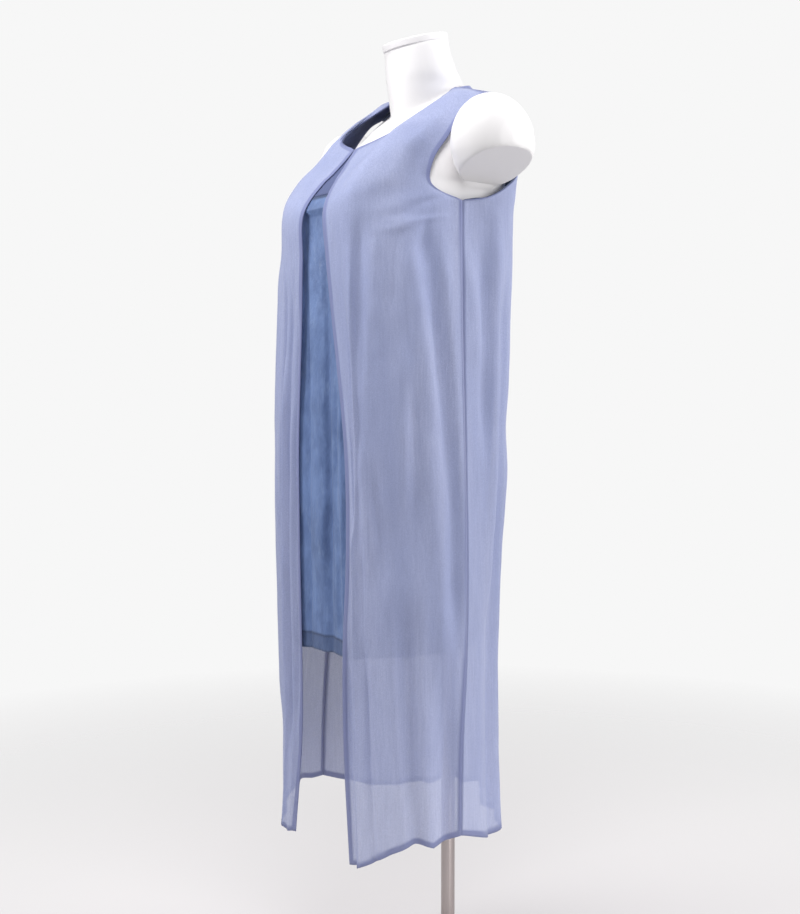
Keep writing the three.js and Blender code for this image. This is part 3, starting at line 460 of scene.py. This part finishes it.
# Half of the slip up to the bust. Front columns: centre, bust, ridge, cheek, side.
SLIP_FRONT_ROWS = {
    "hem": [(14, -135, 272), (62, -132, 272), (98, -122, 273), (138, -70, 274), (149, -6, 276)],
    "thigh": [(14, -137, 440), (60, -134, 440), (96, -126, 440), (138, -72, 440), (150, -4, 440)],
    "hip": [(14, -138, 600), (60, -136, 600), (96, -129, 600), (139, -70, 600), (153, 4, 600)],
    "waist": [(14, -138, 800), (60, -136, 800), (94, -132, 800), (140, -64, 800), (155, 15, 800)],
    "rib": [(14, -139, 900), (60, -139, 900), (92, -134, 900), (142, -58, 900), (156, 21, 900)],
    "bust": [(14, -139, 968), (59, -139, 975), (91, -134, 981), (143, -44, 983), (157, 27, 985)],
}
SLIP_BACK_ROWS = {
    "hem": [(149, -6, 276), (122, 82, 274), (82, 132, 272), (42, 149, 271), (0, 154, 270)],
    "thigh": [(150, -4, 440), (134, 96, 440), (82, 143, 440), (42, 157, 440), (0, 161, 440)],
    "hip": [(153, 4, 600), (138, 108, 600), (82, 153, 600), (42, 167, 600), (0, 171, 600)],
    "waist": [(155, 15, 800), (140, 124, 800), (82, 164, 800), (42, 176, 800), (0, 179, 800)],
    "rib": [(156, 21, 900), (141, 131, 900), (84, 175, 900), (42, 187, 900), (0, 189, 900)],
    "bust": [(157, 27, 985), (144, 138, 984), (86, 186, 984), (42, 196, 984), (0, 198, 984)],
}

# Folds: path of (place across the panel, height) from the lower to the upper end, where the place
# is 0 at the first column and 1 at the last; half width in mm; depth in mm, outwards positive.
# One that starts at BEYOND runs out of the hem.
BEYOND = -300
LEFT_FOLDS = [
    (((0.94, 280), (0.938, 522), (0.896, 744), (0.854, 872), (0.812, 954), (0.80, 1000)), 12, -9),
    (((0.985, 250), (0.98, 522), (0.945, 744), (0.91, 872), (0.87, 970)), 10, 6),
    (((0.87, 200), (0.87, 522), (0.83, 744), (0.79, 872), (0.75, 960)), 15, 6),
    (((0.80, BEYOND), (0.708, 87), (0.688, 291), (0.69, 400)), 12, -8),
    (((0.85, BEYOND), (0.765, 87), (0.745, 291), (0.75, 460)), 12, 6),
    (((0.70, BEYOND), (0.64, 87), (0.62, 291), (0.62, 480)), 13, 6),
    (((0.19, 380), (0.39, 557), (0.45, 820), (0.50, 940)), 10, 4),
    (((0.46, 700), (0.50, 773), (0.56, 985)), 8, -3.5), (((0.58, 760), (0.62, 960)), 9, 3),
    (((0.62, 360), (0.604, 410), (0.562, 600)), 8, -4), (((0.53, 380), (0.50, 640)), 9, 3),
    (((0.75, 440), (0.771, 740)), 9, -4), (((0.70, 480), (0.72, 800)), 10, 3),
    (((0.54, 975), (0.667, 1039), (0.771, 1118)), 20, 3),
    (((0.60, 960), (0.74, 1020), (0.86, 1080)), 20, -2.6),
    (((0.66, 948), (0.75, 975), (0.90, 997)), 12, -2), (((0.64, 925), (0.74, 948), (0.93, 966)), 13, 2),
    (((0.12, BEYOND), (0.10, 330)), 12, -5), (((0.30, BEYOND), (0.26, 520)), 15, 7),
    (((0.47, BEYOND), (0.42, 330)), 12, -5), (((0.93, BEYOND), (0.90, 240)), 12, -5),
]
RIGHT_FOLDS = [
    (((0.08, 120), (0.06, 860)), 7, -4), (((0.14, BEYOND), (0.13, 700)), 8, 4),
    (((0.20, 60), (0.22, 900)), 7, -4), (((0.28, BEYOND), (0.30, 760)), 11, 5),
    (((0.36, 200), (0.35, 930)), 8, -4), (((0.48, BEYOND), (0.46, 560)), 13, -7),
    (((0.60, 100), (0.56, 960)), 11, 6), (((0.75, BEYOND), (0.70, 480)), 13, -7),
    (((0.88, 260), (0.84, 760), (0.78, 985)), 13, -8), (((0.94, 200), (0.90, 940)), 10, 5),
    (((0.52, 975), (0.66, 1039), (0.76, 1110)), 15, 4),
]
BACK_FOLDS = [
    (((0.035, 700), (0.031, 795), (0.012, 920)), 8, 4), (((0.055, 560), (0.052, 779), (0.042, 950)), 9, -6),
    (((0.09, 300), (0.075, 800), (0.070, 1010)), 10, 6),
    (((0.12, BEYOND), (0.11, 520), (0.105, 900)), 12, -8),
    (((0.16, BEYOND), (0.155, 640)), 14, 7), (((0.20, 160), (0.19, 960)), 11, -6),
    (((0.25, BEYOND), (0.24, 860)), 15, 8), (((0.31, BEYOND), (0.30, 700)), 14, -9),
    (((0.36, 240), (0.35, 980)), 12, 6), (((0.43, BEYOND), (0.44, 820)), 16, 8),
    (((0.50, BEYOND), (0.49, 900)), 15, -8), (((0.56, 120), (0.55, 990)), 12, 6),
    (((0.63, BEYOND), (0.61, 760)), 15, -9), (((0.69, 200), (0.68, 960)), 12, 6),
    (((0.76, BEYOND), (0.75, 880)), 15, 8), (((0.82, BEYOND), (0.81, 560)), 13, -8),
    (((0.88, 260), (0.87, 980)), 11, -6), (((0.93, BEYOND), (0.925, 700)), 12, 7),
    (((0.965, 500), (0.96, 950)), 8, -5),
]
SLIP_FRONT_FOLDS = [
    (((0.10, BEYOND), (0.14, 860)), 12, 5), (((0.22, BEYOND), (0.25, 930)), 12, -5),
    (((0.34, BEYOND), (0.36, 800)), 10, 4), (((0.44, BEYOND), (0.47, 940)), 9, -3.5),
    (((0.50, 400), (0.51, 960)), 8, 3), (((0.56, BEYOND), (0.54, 900)), 9, -4),
    (((0.62, BEYOND), (0.60, 760)), 9, 4), (((0.70, 330), (0.67, 930)), 10, -4),
    (((0.80, BEYOND), (0.78, 860)), 12, 5), (((0.90, BEYOND), (0.88, 900)), 12, -5),
]
SLIP_BACK_FOLDS = [
    (((0.08, BEYOND), (0.10, 900)), 12, 4), (((0.20, BEYOND), (0.18, 850)), 14, -5),
    (((0.33, BEYOND), (0.30, 930)), 14, 5), (((0.46, BEYOND), (0.47, 800)), 12, -5),
    (((0.58, BEYOND), (0.60, 900)), 14, 5), (((0.71, BEYOND), (0.69, 860)), 12, -5),
    (((0.84, BEYOND), (0.82, 930)), 14, 5), (((0.93, BEYOND), (0.92, 880)), 10, -4),
]
# Uneven hems: how much each place across the panel hangs higher than the table above.
LEFT_HEM = [
    (0, -8), (0.25, -7), (0.48, 0), (0.6, 0), (0.66, -1), (0.71, -4), (0.76, -10), (0.82, -18), (0.9, -13),
    (1, -6)]
RIGHT_HEM = [(0, 0), (0.2, -5), (0.45, 3), (0.6, -5), (0.75, 4), (0.9, -6), (1, -6)]
BACK_HEM = [
    (0, -6), (0.1, -6), (0.2, 3), (0.3, -5), (0.42, 4), (0.5, -4), (0.6, 3), (0.7, -5), (0.8, 4), (0.9, -5),
    (1, -6)]
SLIP_FRONT_HEM = [(0, 0), (0.15, 3), (0.3, -2), (0.45, 2), (0.6, -2), (0.8, 3), (1, 0)]
SLIP_BACK_HEM = [(0, 0), (0.2, -3), (0.4, 2), (0.6, -3), (0.8, 2), (1, 0)]
HEM_REACH = 170        # mm above the hem over which its waves die out
SEAM_CALM = 12         # mm beside each seam over which folds die out
FOLD_DEPTH = 1.35      # share of the tables' depths that the folds get
FOLD_PROFILE = 1.6     # exponent of a fold's cross-section: 2 is a round bell, 1 a sharp ridge
FRONT_CELL = 3.6
FRONT_ACROSS = 18      # cells to each control span
BACK_ACROSS = 15
SLIP_CELL = 3.6
SEAM_END = list(BACK_ROWS).index("bust")


def small_folds(seed, count, low, high, width, depth):
    """Slight upright folds at seeded places, from the height low to high."""
    source = random.Random(seed)
    folds = []
    for _ in range(count):
        place = source.uniform(0.03, 0.97)
        foot = source.uniform(low, high - 100)
        head = min(high, foot + source.uniform(90, 420))
        path = ((place, foot), (place + source.uniform(-0.02, 0.02), head))
        size = source.choice((-1, 1)) * source.uniform(0.4, 1) * depth
        folds.append((path, source.uniform(0.6, 1.2) * width, size))
    return folds


def mirrored(rows):
    return [[*row, *((-x, y, z) for x, y, z in reversed(row[:-1]))] for row in rows]


def fold_relief(grid, folds):
    """Push in mm of each grid point by the folds."""
    across = np.linspace(0, 1, grid.shape[1])[None, :]
    width_of_row = border_distances(grid)["first"][:, -1:]
    height = grid[..., 2]
    push = np.zeros(grid.shape[:2])
    for path, width, depth in folds:
        places, heights = zip(*path)
        fade = np.clip(0.3 * (heights[-1] - heights[0]), 15, 110)
        low_end = smoothstep(height, heights[0], heights[0] + fade)
        high_end = smoothstep(height, heights[-1] - fade, heights[-1])
        aside = np.abs(across - np.interp(height, heights, places)) * width_of_row / width
        push += depth * (low_end * (1 - high_end)) * np.exp(-aside**FOLD_PROFILE)
    return push


def soft_relief(grid, size, seed):
    """Uneven small waves from -1 to 1 of a worn and washed cloth, taller than wide."""
    push = np.zeros(grid.shape[:2])
    for i, j in np.ndindex(grid.shape[:2]):
        x, y, z = grid[i, j] / size
        push[i, j] = noise.fractal(Vector((x, y, z * 0.3 + seed)), 1.0, 2.0, 3)
    return push


def with_folds(grid, folds, outward, wave=0.0, seed=0):
    """The grid with its folds and with uneven waves `wave` mm high; both die out at the seams."""
    push = FOLD_DEPTH * fold_relief(grid, folds) + wave * soft_relief(grid, 46, seed)
    distance = border_distances(grid)
    for border in ("first", "last"):
        push *= smoothstep(distance[border], -2, SEAM_CALM)
    return grid + grid_normals(grid, outward) * push[..., None]


def with_hem(grid, hem):
    """The grid with its lower edge raised or lowered as the table says."""
    places, lifts = zip(*hem)
    across = np.linspace(0, 1, grid.shape[1])
    share = 1 - smoothstep(border_distances(grid)["bottom"], 0, HEM_REACH)
    result = grid.copy()
    result[..., 2] += share * np.interp(across, places, lifts)[None, :]
    return result


def part_point(p):
    return Vector((p[0] * MM, (p[1] - POLE_BEHIND) * MM, (p[2] + HEM_HEIGHT) * MM))


FORM_TREE = BVHTree.FromPolygons(
    [v.co.copy() for v in nodes["form_torso"].data.vertices],
    [tuple(p.vertices) for p in nodes["form_torso"].data.polygons])
CLEAR_FROM = 850       # lowest height at which the cloth can touch the form


def clear_of_form(grid, outward, clearance):
    """Moves points outwards until they are clear of the dress form, softly."""
    for _ in range(2):
        normals = grid_normals(grid, outward)
        push = np.zeros(grid.shape[:2])
        for i, j in np.argwhere(grid[..., 2] > CLEAR_FROM):
            spot = part_point(grid[i, j])
            near, facing, _, reach = FORM_TREE.find_nearest(spot, 0.03)
            if near is None:
                continue
            away = (spot - near).dot(facing)
            gap = (reach if away >= 0 else -reach) / MM
            push[i, j] = max(0, clearance - gap)
        push = np.maximum(blurred(push, 4), push * 0.7)
        grid = grid + normals * push[..., None]
    return grid


OUTER_CLEARANCE = 4.6


def lifted(points, lifts):
    if not lifts:
        return points
    return [[a + b for a, b in zip(point, lift)] for point, lift in zip(points, lifts)]


FRONT_DOWN = row_stations(list(FRONT_ROWS.values()), FRONT_CELL)
BACK_DOWN = row_stations(mirrored(BACK_ROWS.values()), FRONT_CELL)
SLIP_DOWN = row_stations(list(SLIP_FRONT_ROWS.values()), SLIP_CELL)


def outer_front(side):
    rows = []
    for level, row in FRONT_ROWS.items():
        points = [list(p) for p in row]
        shift = EDGE_SWAY.get(level, (0, 0))[0 if side > 0 else 1]
        points[0][0] += shift
        points[1][0] += shift / 2
        if side < 0:
            points = lifted(points, RIGHT_FRONT_LIFT.get(level))
        rows.append([(side * x, y, z) for x, y, z in points])
    grid = cloth_grid(rows, FRONT_DOWN, FRONT_ACROSS, [4], SEAM_END, [2])
    folds, hem, seed = (LEFT_FOLDS, LEFT_HEM, 3) if side > 0 else (RIGHT_FOLDS, RIGHT_HEM, 5)
    folds = folds + small_folds(seed, 46, -60, 960, 7, 1.8)
    grid = with_hem(with_folds(grid, folds, side, 1.3, seed), hem)
    return clear_of_form(grid, side, OUTER_CLEARANCE)


def outer_back():
    rows = mirrored(BACK_ROWS.values())
    for row, level in zip(rows, BACK_ROWS):
        row[4:] = reversed(lifted(row[:3:-1], RIGHT_BACK_LIFT.get(level)))
    grid = cloth_grid(rows, BACK_DOWN, BACK_ACROSS, [0, 8], SEAM_END, [2, 6])
    folds = BACK_FOLDS + small_folds(8, 80, -60, 990, 7, 1.8)
    return clear_of_form(with_hem(with_folds(grid, folds, 1, 1.3, 8), BACK_HEM), 1, OUTER_CLEARANCE)


# ---------- shells ----------

def make_mesh(name, vertices, faces, material, doubled=None):
    mesh = bpy.data.meshes.new(name)
    mesh.from_pydata([tuple(v) for v in vertices], [], faces)
    mesh.validate()
    if doubled is not None:
        layer = mesh.attributes.new("doubled", "FLOAT", "POINT")
        layer.data.foreach_set("value", np.asarray(doubled, dtype=np.float32))
    mesh.materials.append(material)
    mesh.shade_smooth()
    piece = bpy.data.objects.new(name, mesh)
    bpy.context.scene.collection.objects.link(piece)
    return piece


def part_points(grid):
    return (grid.reshape(-1, 3) + np.array([0, -POLE_BEHIND, HEM_HEIGHT])) * MM


def cloth_shell(name, grid, outward, material, doubled, wall=0.5, hem_extra=0.8):
    """Closed thin shell on a grid: thicker where the cloth is doubled."""
    normals = grid_normals(grid, outward)
    outer = grid + normals * (doubled * hem_extra * 0.5)[..., None]
    inner = grid - normals * (wall + doubled * hem_extra * 0.5)[..., None]
    count, width = grid.shape[:2]
    vertices = np.concatenate([part_points(outer), part_points(inner)])
    i, j = np.meshgrid(np.arange(count - 1), np.arange(width - 1), indexing="ij")
    a = (i * width + j).ravel()
    front = np.stack([a, a + 1, a + width + 1, a + width], axis=1)
    back = np.stack([a, a + width, a + width + 1, a + 1], axis=1) + count * width
    rim = []
    for line in (np.arange(count) * width, np.arange(count)[::-1] * width + width - 1,
                 np.arange(width)[::-1], (count - 1) * width + np.arange(width)):
        low, high = line[:-1], line[1:]
        rim.append(np.stack([low, high, high + count * width, low + count * width], axis=1))
    faces = np.concatenate([front, back, *rim])
    if outward < 0:
        faces = faces[:, ::-1]
    return make_mesh(name, vertices, faces.tolist(), material, np.tile(doubled.ravel(), 2))


def band(distance, width):
    """1 within a hem or seam allowance of a border, 0 beyond it, with a soft limit."""
    return 1 - smoothstep(distance, width - 0.8, width + 1.2)


def line_inside(grid, border, distance):
    """Points and indices of the line that runs `distance` mm inside one border of a grid."""
    depth = border_distances(grid)[border]
    if border in ("first", "last"):
        depth, cloth = depth.T, grid.transpose(1, 0, 2)
    else:
        cloth = grid
    points = []
    for k in range(depth.shape[1]):
        column = depth[:, k]
        order = np.argsort(column)
        points.append([np.interp(distance, column[order], cloth[order, k, axis]) for axis in range(3)])
    return np.array(points)


STITCH_PITCH = 3.4
STITCH_LENGTH = 2.3
STITCH_RADIUS = 0.28


def stitch_geometry(line, lift):
    """Vertices and faces of running stitches along a line of points, each a slim six-sided bead."""
    steps = np.linalg.norm(np.diff(line, axis=0), axis=1)
    along = np.concatenate([[0], np.cumsum(steps)])
    at = lambda s: np.array([np.interp(s, along, line[:, axis]) for axis in range(3)])
    vertices, faces = [], []
    for s in np.arange(STITCH_PITCH, along[-1] - STITCH_PITCH, STITCH_PITCH):
        start, end = at(s), at(s + STITCH_LENGTH)
        tangent = unit(end - start)
        outward = unit(lift(s / along[-1]))
        side = np.cross(tangent, outward)
        base = len(vertices)
        vertices.append(start - outward * 0.3)
        for share in (0.25, 0.75):
            centre = start + (end - start) * share + outward * 0.45
            for turn in range(4):
                angle = math.pi / 4 + turn * math.pi / 2
                vertices.append(centre + STITCH_RADIUS * (math.cos(angle) * side + math.sin(angle) * outward))
        vertices.append(end - outward * 0.3)
        for turn in range(4):
            after = (turn + 1) % 4
            faces.append((base, base + 1 + after, base + 1 + turn))
            faces.append((base + 1 + turn, base + 1 + after, base + 5 + after, base + 5 + turn))
            faces.append((base + 9, base + 5 + turn, base + 5 + after))
    return vertices, faces


def add_stitches(name, grid, outward, lines, material):
    """One mesh of stitches along lines (border, distance inside it) of a panel, on its outer face."""
    normals = grid_normals(grid, outward)
    all_vertices, all_faces = [], []
    for border, distance in lines:
        line = line_inside(grid, border, distance)
        index = {"first": 0, "bottom": 0, "last": -1, "top": -1}[border]
        edge = normals[:, index] if border in ("first", "last") else normals[index]
        facing = lambda share: edge[int(share * (len(edge) - 1))]
        vertices, faces = stitch_geometry(line, facing)
        all_faces += [tuple(k + len(all_vertices) for k in face) for face in faces]
        all_vertices += vertices
    piece = make_mesh(name, part_points(np.array(all_vertices)), all_faces, material)
    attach(piece, "root")
    return piece


def add_sheet(piece, node_name, flat, area):
    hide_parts(node_name)
    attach(piece, "root")


add_camera()
add_world()
add_lights()
add_floor()

OUTER_HEM = 9
ARM_HEM = 7
SEAM_ALLOWANCE = 5
STITCH_INSET = 1.4     # stitch lines lie this far inside the turned edge of a hem
sheer = sheer_material("georgette", (0.52, 0.565, 0.80), (0.45, 0.50, 0.745), (0.25, 0.28, 0.49), 0.60, 0.80)
# The yoke is the outer's georgette, doubled. Its colours and cover are set much darker and denser than the
# doubled georgette: painted shade inside the V and the neckline.
shaded_yoke_cloth = sheer_material(
    "georgette_yoke_painted_shade", (0.11, 0.135, 0.27), (0.095, 0.118, 0.245), (0.085, 0.105, 0.215), 0.93, 0.98)
satin = satin_material()
sheer_thread = thread_material("sheer_thread", (0.27, 0.30, 0.50))
satin_thread = thread_material("satin_thread", (0.13, 0.17, 0.30))

front_left = outer_front(1)
front_right = outer_front(-1)
back_grid = outer_back()


def outer_doubling(grid, stations, seams):
    """Where the outer layer is double: hems, turned edges and the seams' allowances."""
    d = border_distances(grid)
    above = stations[:, None] > SEAM_END
    share = np.maximum(band(d["bottom"], OUTER_HEM), band(d["top"], ARM_HEM))
    for side in ("first", "last"):
        if side in seams:
            share = np.maximum(share, np.where(above, band(d[side], ARM_HEM), band(d[side], SEAM_ALLOWANCE)))
        else:
            share = np.maximum(share, band(d[side], OUTER_HEM))
    return share


OUTER_LINES = [("bottom", OUTER_HEM - STITCH_INSET), ("top", ARM_HEM - STITCH_INSET)]
for name, grid, outward, stations, seams, flat, area in (
        ("outer_front_left", front_left, 1, FRONT_DOWN, ["last"], (0.30, 1.27), 0.27),
        ("outer_front_right", front_right, -1, FRONT_DOWN, ["last"], (0.30, 1.27), 0.27),
        ("outer_back", back_grid, 1, BACK_DOWN, ["first", "last"], (0.66, 1.24), 0.62)):
    piece = cloth_shell("dress_" + name, grid, outward, sheer, outer_doubling(grid, stations, seams))
    lines = OUTER_LINES + [("last", SEAM_ALLOWANCE - STITCH_INSET)]
    lines.append(("first", (OUTER_HEM if seams == ["last"] else SEAM_ALLOWANCE) - STITCH_INSET))
    stitches = add_stitches("stitches_" + name, grid, outward, lines, sheer_thread)
    add_sheet(piece, name, flat, area)

# The upper slip lies under the outer layer.
UNDER_OUTER = 1.8
YOKE_STATION = SEAM_END + 0.5
under_fronts = np.concatenate([
    (front_left - grid_normals(front_left, 1) * UNDER_OUTER)[:, ::-1],
    front_right - grid_normals(front_right, -1) * UNDER_OUTER], axis=1)
under_back = back_grid - grid_normals(back_grid, 1) * UNDER_OUTER

yoke_grid = under_fronts[FRONT_DOWN >= YOKE_STATION]
d = border_distances(yoke_grid)
yoke_double = np.maximum(band(d["top"], 8), band(d["bottom"], 6))
# The yoke's dark colour is painted shade, not the cloth's own tone.
piece = cloth_shell("dress_slip_yoke", yoke_grid, -1, shaded_yoke_cloth, yoke_double)
stitches = add_stitches("stitches_slip_yoke", yoke_grid, -1, [("bottom", 2.5)], satin_thread)
add_sheet(piece, "slip_yoke", (0.44, 0.26), 0.075)

COVER_REACH = 40       # mm outside a point of the slip in which its cover is looked for


def cloth_tree(grids):
    """Search tree of the cloth grids, in the scene's metres."""
    points, faces = [], []
    for grid in grids:
        rows, columns = grid.shape[:2]
        start = len(points)
        points += [part_point(p) for p in grid.reshape(-1, 3)]
        for i, j in np.ndindex(rows - 1, columns - 1):
            low = start + i * columns + j
            faces.append((low, low + 1, low + columns + 1, low + columns))
    return BVHTree.FromPolygons(points, faces)


def under_cover(grid, outward, cover, clearance=3.0):
    """Moves points of the slip inwards until they are under the outer layer."""
    for _ in range(2):
        normals = grid_normals(grid, outward)
        push = np.zeros(grid.shape[:2])
        for i, j in np.argwhere(grid[..., 2] < CLEAR_FROM + 100):
            normal = Vector(normals[i, j])
            start = part_point(grid[i, j] + normals[i, j] * COVER_REACH)
            hit, _, _, reach = cover.ray_cast(start, -normal, (COVER_REACH + 12) * MM)
            if hit is not None:
                push[i, j] = max(0, clearance - (COVER_REACH - reach / MM))
        push = np.maximum(blurred(push, 3), push * 0.8)
        grid = grid - normals * push[..., None]
    return grid


SLIP_HEM = 25
PUCKER = 1.4           # height in mm of the puckers beside the slip's hem stitching


def with_puckers(grid, outward, seed):
    """Small upright puckers in the hem and just over its stitching."""
    below = border_distances(grid)["bottom"]
    share = smoothstep(below, -6, 8) * (1 - smoothstep(below, SLIP_HEM + 4, SLIP_HEM + 34))
    push = soft_relief(grid * np.array([1, 1, 0.7]), 9, seed) * PUCKER * share
    return grid + grid_normals(grid, outward) * push[..., None]


def slip_front():
    half = cloth_grid(SLIP_FRONT_ROWS.values(), SLIP_DOWN, FRONT_ACROSS)
    lower = np.concatenate([half[:, ::-1], half * np.array([-1, 1, 1])], axis=1)
    upper = under_fronts[(FRONT_DOWN > SEAM_END) & (FRONT_DOWN <= YOKE_STATION)]
    folds = SLIP_FRONT_FOLDS + small_folds(21, 90, 270, 940, 6, 2.0)
    grid = with_folds(np.concatenate([lower, upper]), folds, -1, 1.6, 21)
    grid = with_puckers(with_hem(grid, SLIP_FRONT_HEM), -1, 22)
    return under_cover(grid, -1, cloth_tree([front_left, front_right]))


def slip_back():
    lower = cloth_grid(mirrored(SLIP_BACK_ROWS.values()), SLIP_DOWN, BACK_ACROSS)
    upper = under_back[BACK_DOWN > SEAM_END]
    folds = SLIP_BACK_FOLDS + small_folds(31, 80, 270, 940, 6, 2.0)
    grid = with_folds(np.concatenate([lower, upper]), folds, 1, 1.6, 31)
    grid = with_puckers(with_hem(grid, SLIP_BACK_HEM), 1, 32)
    return under_cover(grid, 1, cloth_tree([back_grid]))


for name, grid, outward, flat, area in (
        ("slip_front", slip_front(), -1, (0.50, 0.74), 0.35),
        ("slip_back", slip_back(), 1, (0.58, 0.95), 0.46)):
    d = border_distances(grid)
    share = np.maximum(0.6 * band(d["bottom"], SLIP_HEM), band(np.minimum(d["first"], d["last"]), 5))
    share = np.maximum(share, band(d["top"], 6))
    share = np.maximum(share, band(np.abs(d["bottom"] - SLIP_HEM), 1.5))
    piece = cloth_shell("dress_" + name, grid, outward, satin, share)
    lines = [("bottom", SLIP_HEM - STITCH_INSET), ("bottom", 2.5), ("last", 3.5), ("first", 3.5)]
    stitches = add_stitches("stitches_" + name, grid, outward, lines, satin_thread)
    add_sheet(piece, name, flat, area)


# ---------- the dress form and its stand ----------

# The stubs' slanted undersides: start, height and slope of the solid's cut, and rise of the smoothed one.
STUB_CUT = {"x": 0.150, "z": 1.014 + HEM_HEIGHT * MM, "slope": 0.56, "rise": 0.0035}
NECK_TOP = {"y": (61 - POLE_BEHIND) * MM, "z": (1271.3 + HEM_HEIGHT) * MM, "slope": 0.27}
NECK_CUT = {"z": (1272 + HEM_HEIGHT) * MM, "slope": 0.4, "reach": 0.06}    # top of the solid's neck
SHARP_TURN = math.radians(28)


def smooth_form():
    """The form without facets: the solid's own mesh, remeshed and smoothed, its cuts made flat again."""
    piece = bpy.data.objects.new("form_shell", nodes["form_torso"].data.copy())
    bpy.context.scene.collection.objects.link(piece)
    remesh = piece.modifiers.new("even", "REMESH")
    remesh.mode = "VOXEL"
    remesh.voxel_size = 0.0036
    smooth = piece.modifiers.new("smooth", "SMOOTH")
    smooth.factor = 0.5
    smooth.iterations = 20
    for modifier in ("even", "smooth"):
        with bpy.context.temp_override(object=piece, active_object=piece, selected_objects=[piece]):
            bpy.ops.object.modifier_apply(modifier=modifier)
    mesh = piece.data
    for vertex in mesh.vertices:
        x, z = abs(vertex.co.x), vertex.co.z
        behind = vertex.co.y - NECK_TOP["y"]
        cut = NECK_CUT["z"] + NECK_CUT["slope"] * behind
        if z > cut - NECK_CUT["reach"]:
            share = smoothstep(z, cut - NECK_CUT["reach"], cut - 0.004)
            vertex.co.z = z + share * (NECK_TOP["z"] + NECK_TOP["slope"] * behind - cut)
        if x > STUB_CUT["x"] + 2 * MM and z > STUB_CUT["z"] - 20 * MM:
            lowest = STUB_CUT["z"] + STUB_CUT["rise"] + STUB_CUT["slope"] * (x - STUB_CUT["x"])
            vertex.co.z = max(z, lowest)
    mesh.materials.clear()
    mesh.materials.append(form_material())
    mesh.shade_smooth()
    mesh.set_sharp_from_angle(angle=SHARP_TURN)
    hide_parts("form_torso")
    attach(piece, "root")


# Outline of the neck plate from its middle to its underside: inset from the rim and height, in mm.
PLATE_PROFILE = [
    (20, 5.2), (2.4, 5.2), (0.9, 4.7), (0.1, 3.6), (0, 2.0), (0.25, -5.0), (1.2, -6.5), (20, -6.5)]
PLATE_RADII = (53.3, 57.2)
PLATE_SEGMENTS = 96


def neck_plate():
    """The slanted plate that closes the neck, its rim drawn down over the neck's edge."""
    rise = math.atan(NECK_TOP["slope"])
    vertices, faces = [], []
    for inset, height in PLATE_PROFILE:
        for k in range(PLATE_SEGMENTS):
            angle = 2 * math.pi * k / PLATE_SEGMENTS
            x = (PLATE_RADII[0] - inset) * math.cos(angle)
            y = (PLATE_RADII[1] - inset) * math.sin(angle)
            vertices.append((x * MM, (y * math.cos(rise) - height * math.sin(rise)) * MM + NECK_TOP["y"],
                             (y * math.sin(rise) + height * math.cos(rise)) * MM + NECK_TOP["z"]))
    rings = len(PLATE_PROFILE)
    for r in range(rings - 1):
        for k in range(PLATE_SEGMENTS):
            after = (k + 1) % PLATE_SEGMENTS
            low, high = r * PLATE_SEGMENTS, (r + 1) * PLATE_SEGMENTS
            faces.append((low + k, high + k, high + after, low + after))
    faces.append(tuple(range(PLATE_SEGMENTS)))
    faces.append(tuple(reversed(range((rings - 1) * PLATE_SEGMENTS, rings * PLATE_SEGMENTS))))
    piece = make_mesh("form_plate", vertices, faces, form_material())
    piece.data.set_sharp_from_angle(angle=SHARP_TURN)
    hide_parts("form_neck_cap")
    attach(piece, "root")


smooth_form()
neck_plate()
steel = metal_material()
for name in ("stand_pole", "stand_base"):
    for slot in nodes[name].material_slots:
        slot.material = steel
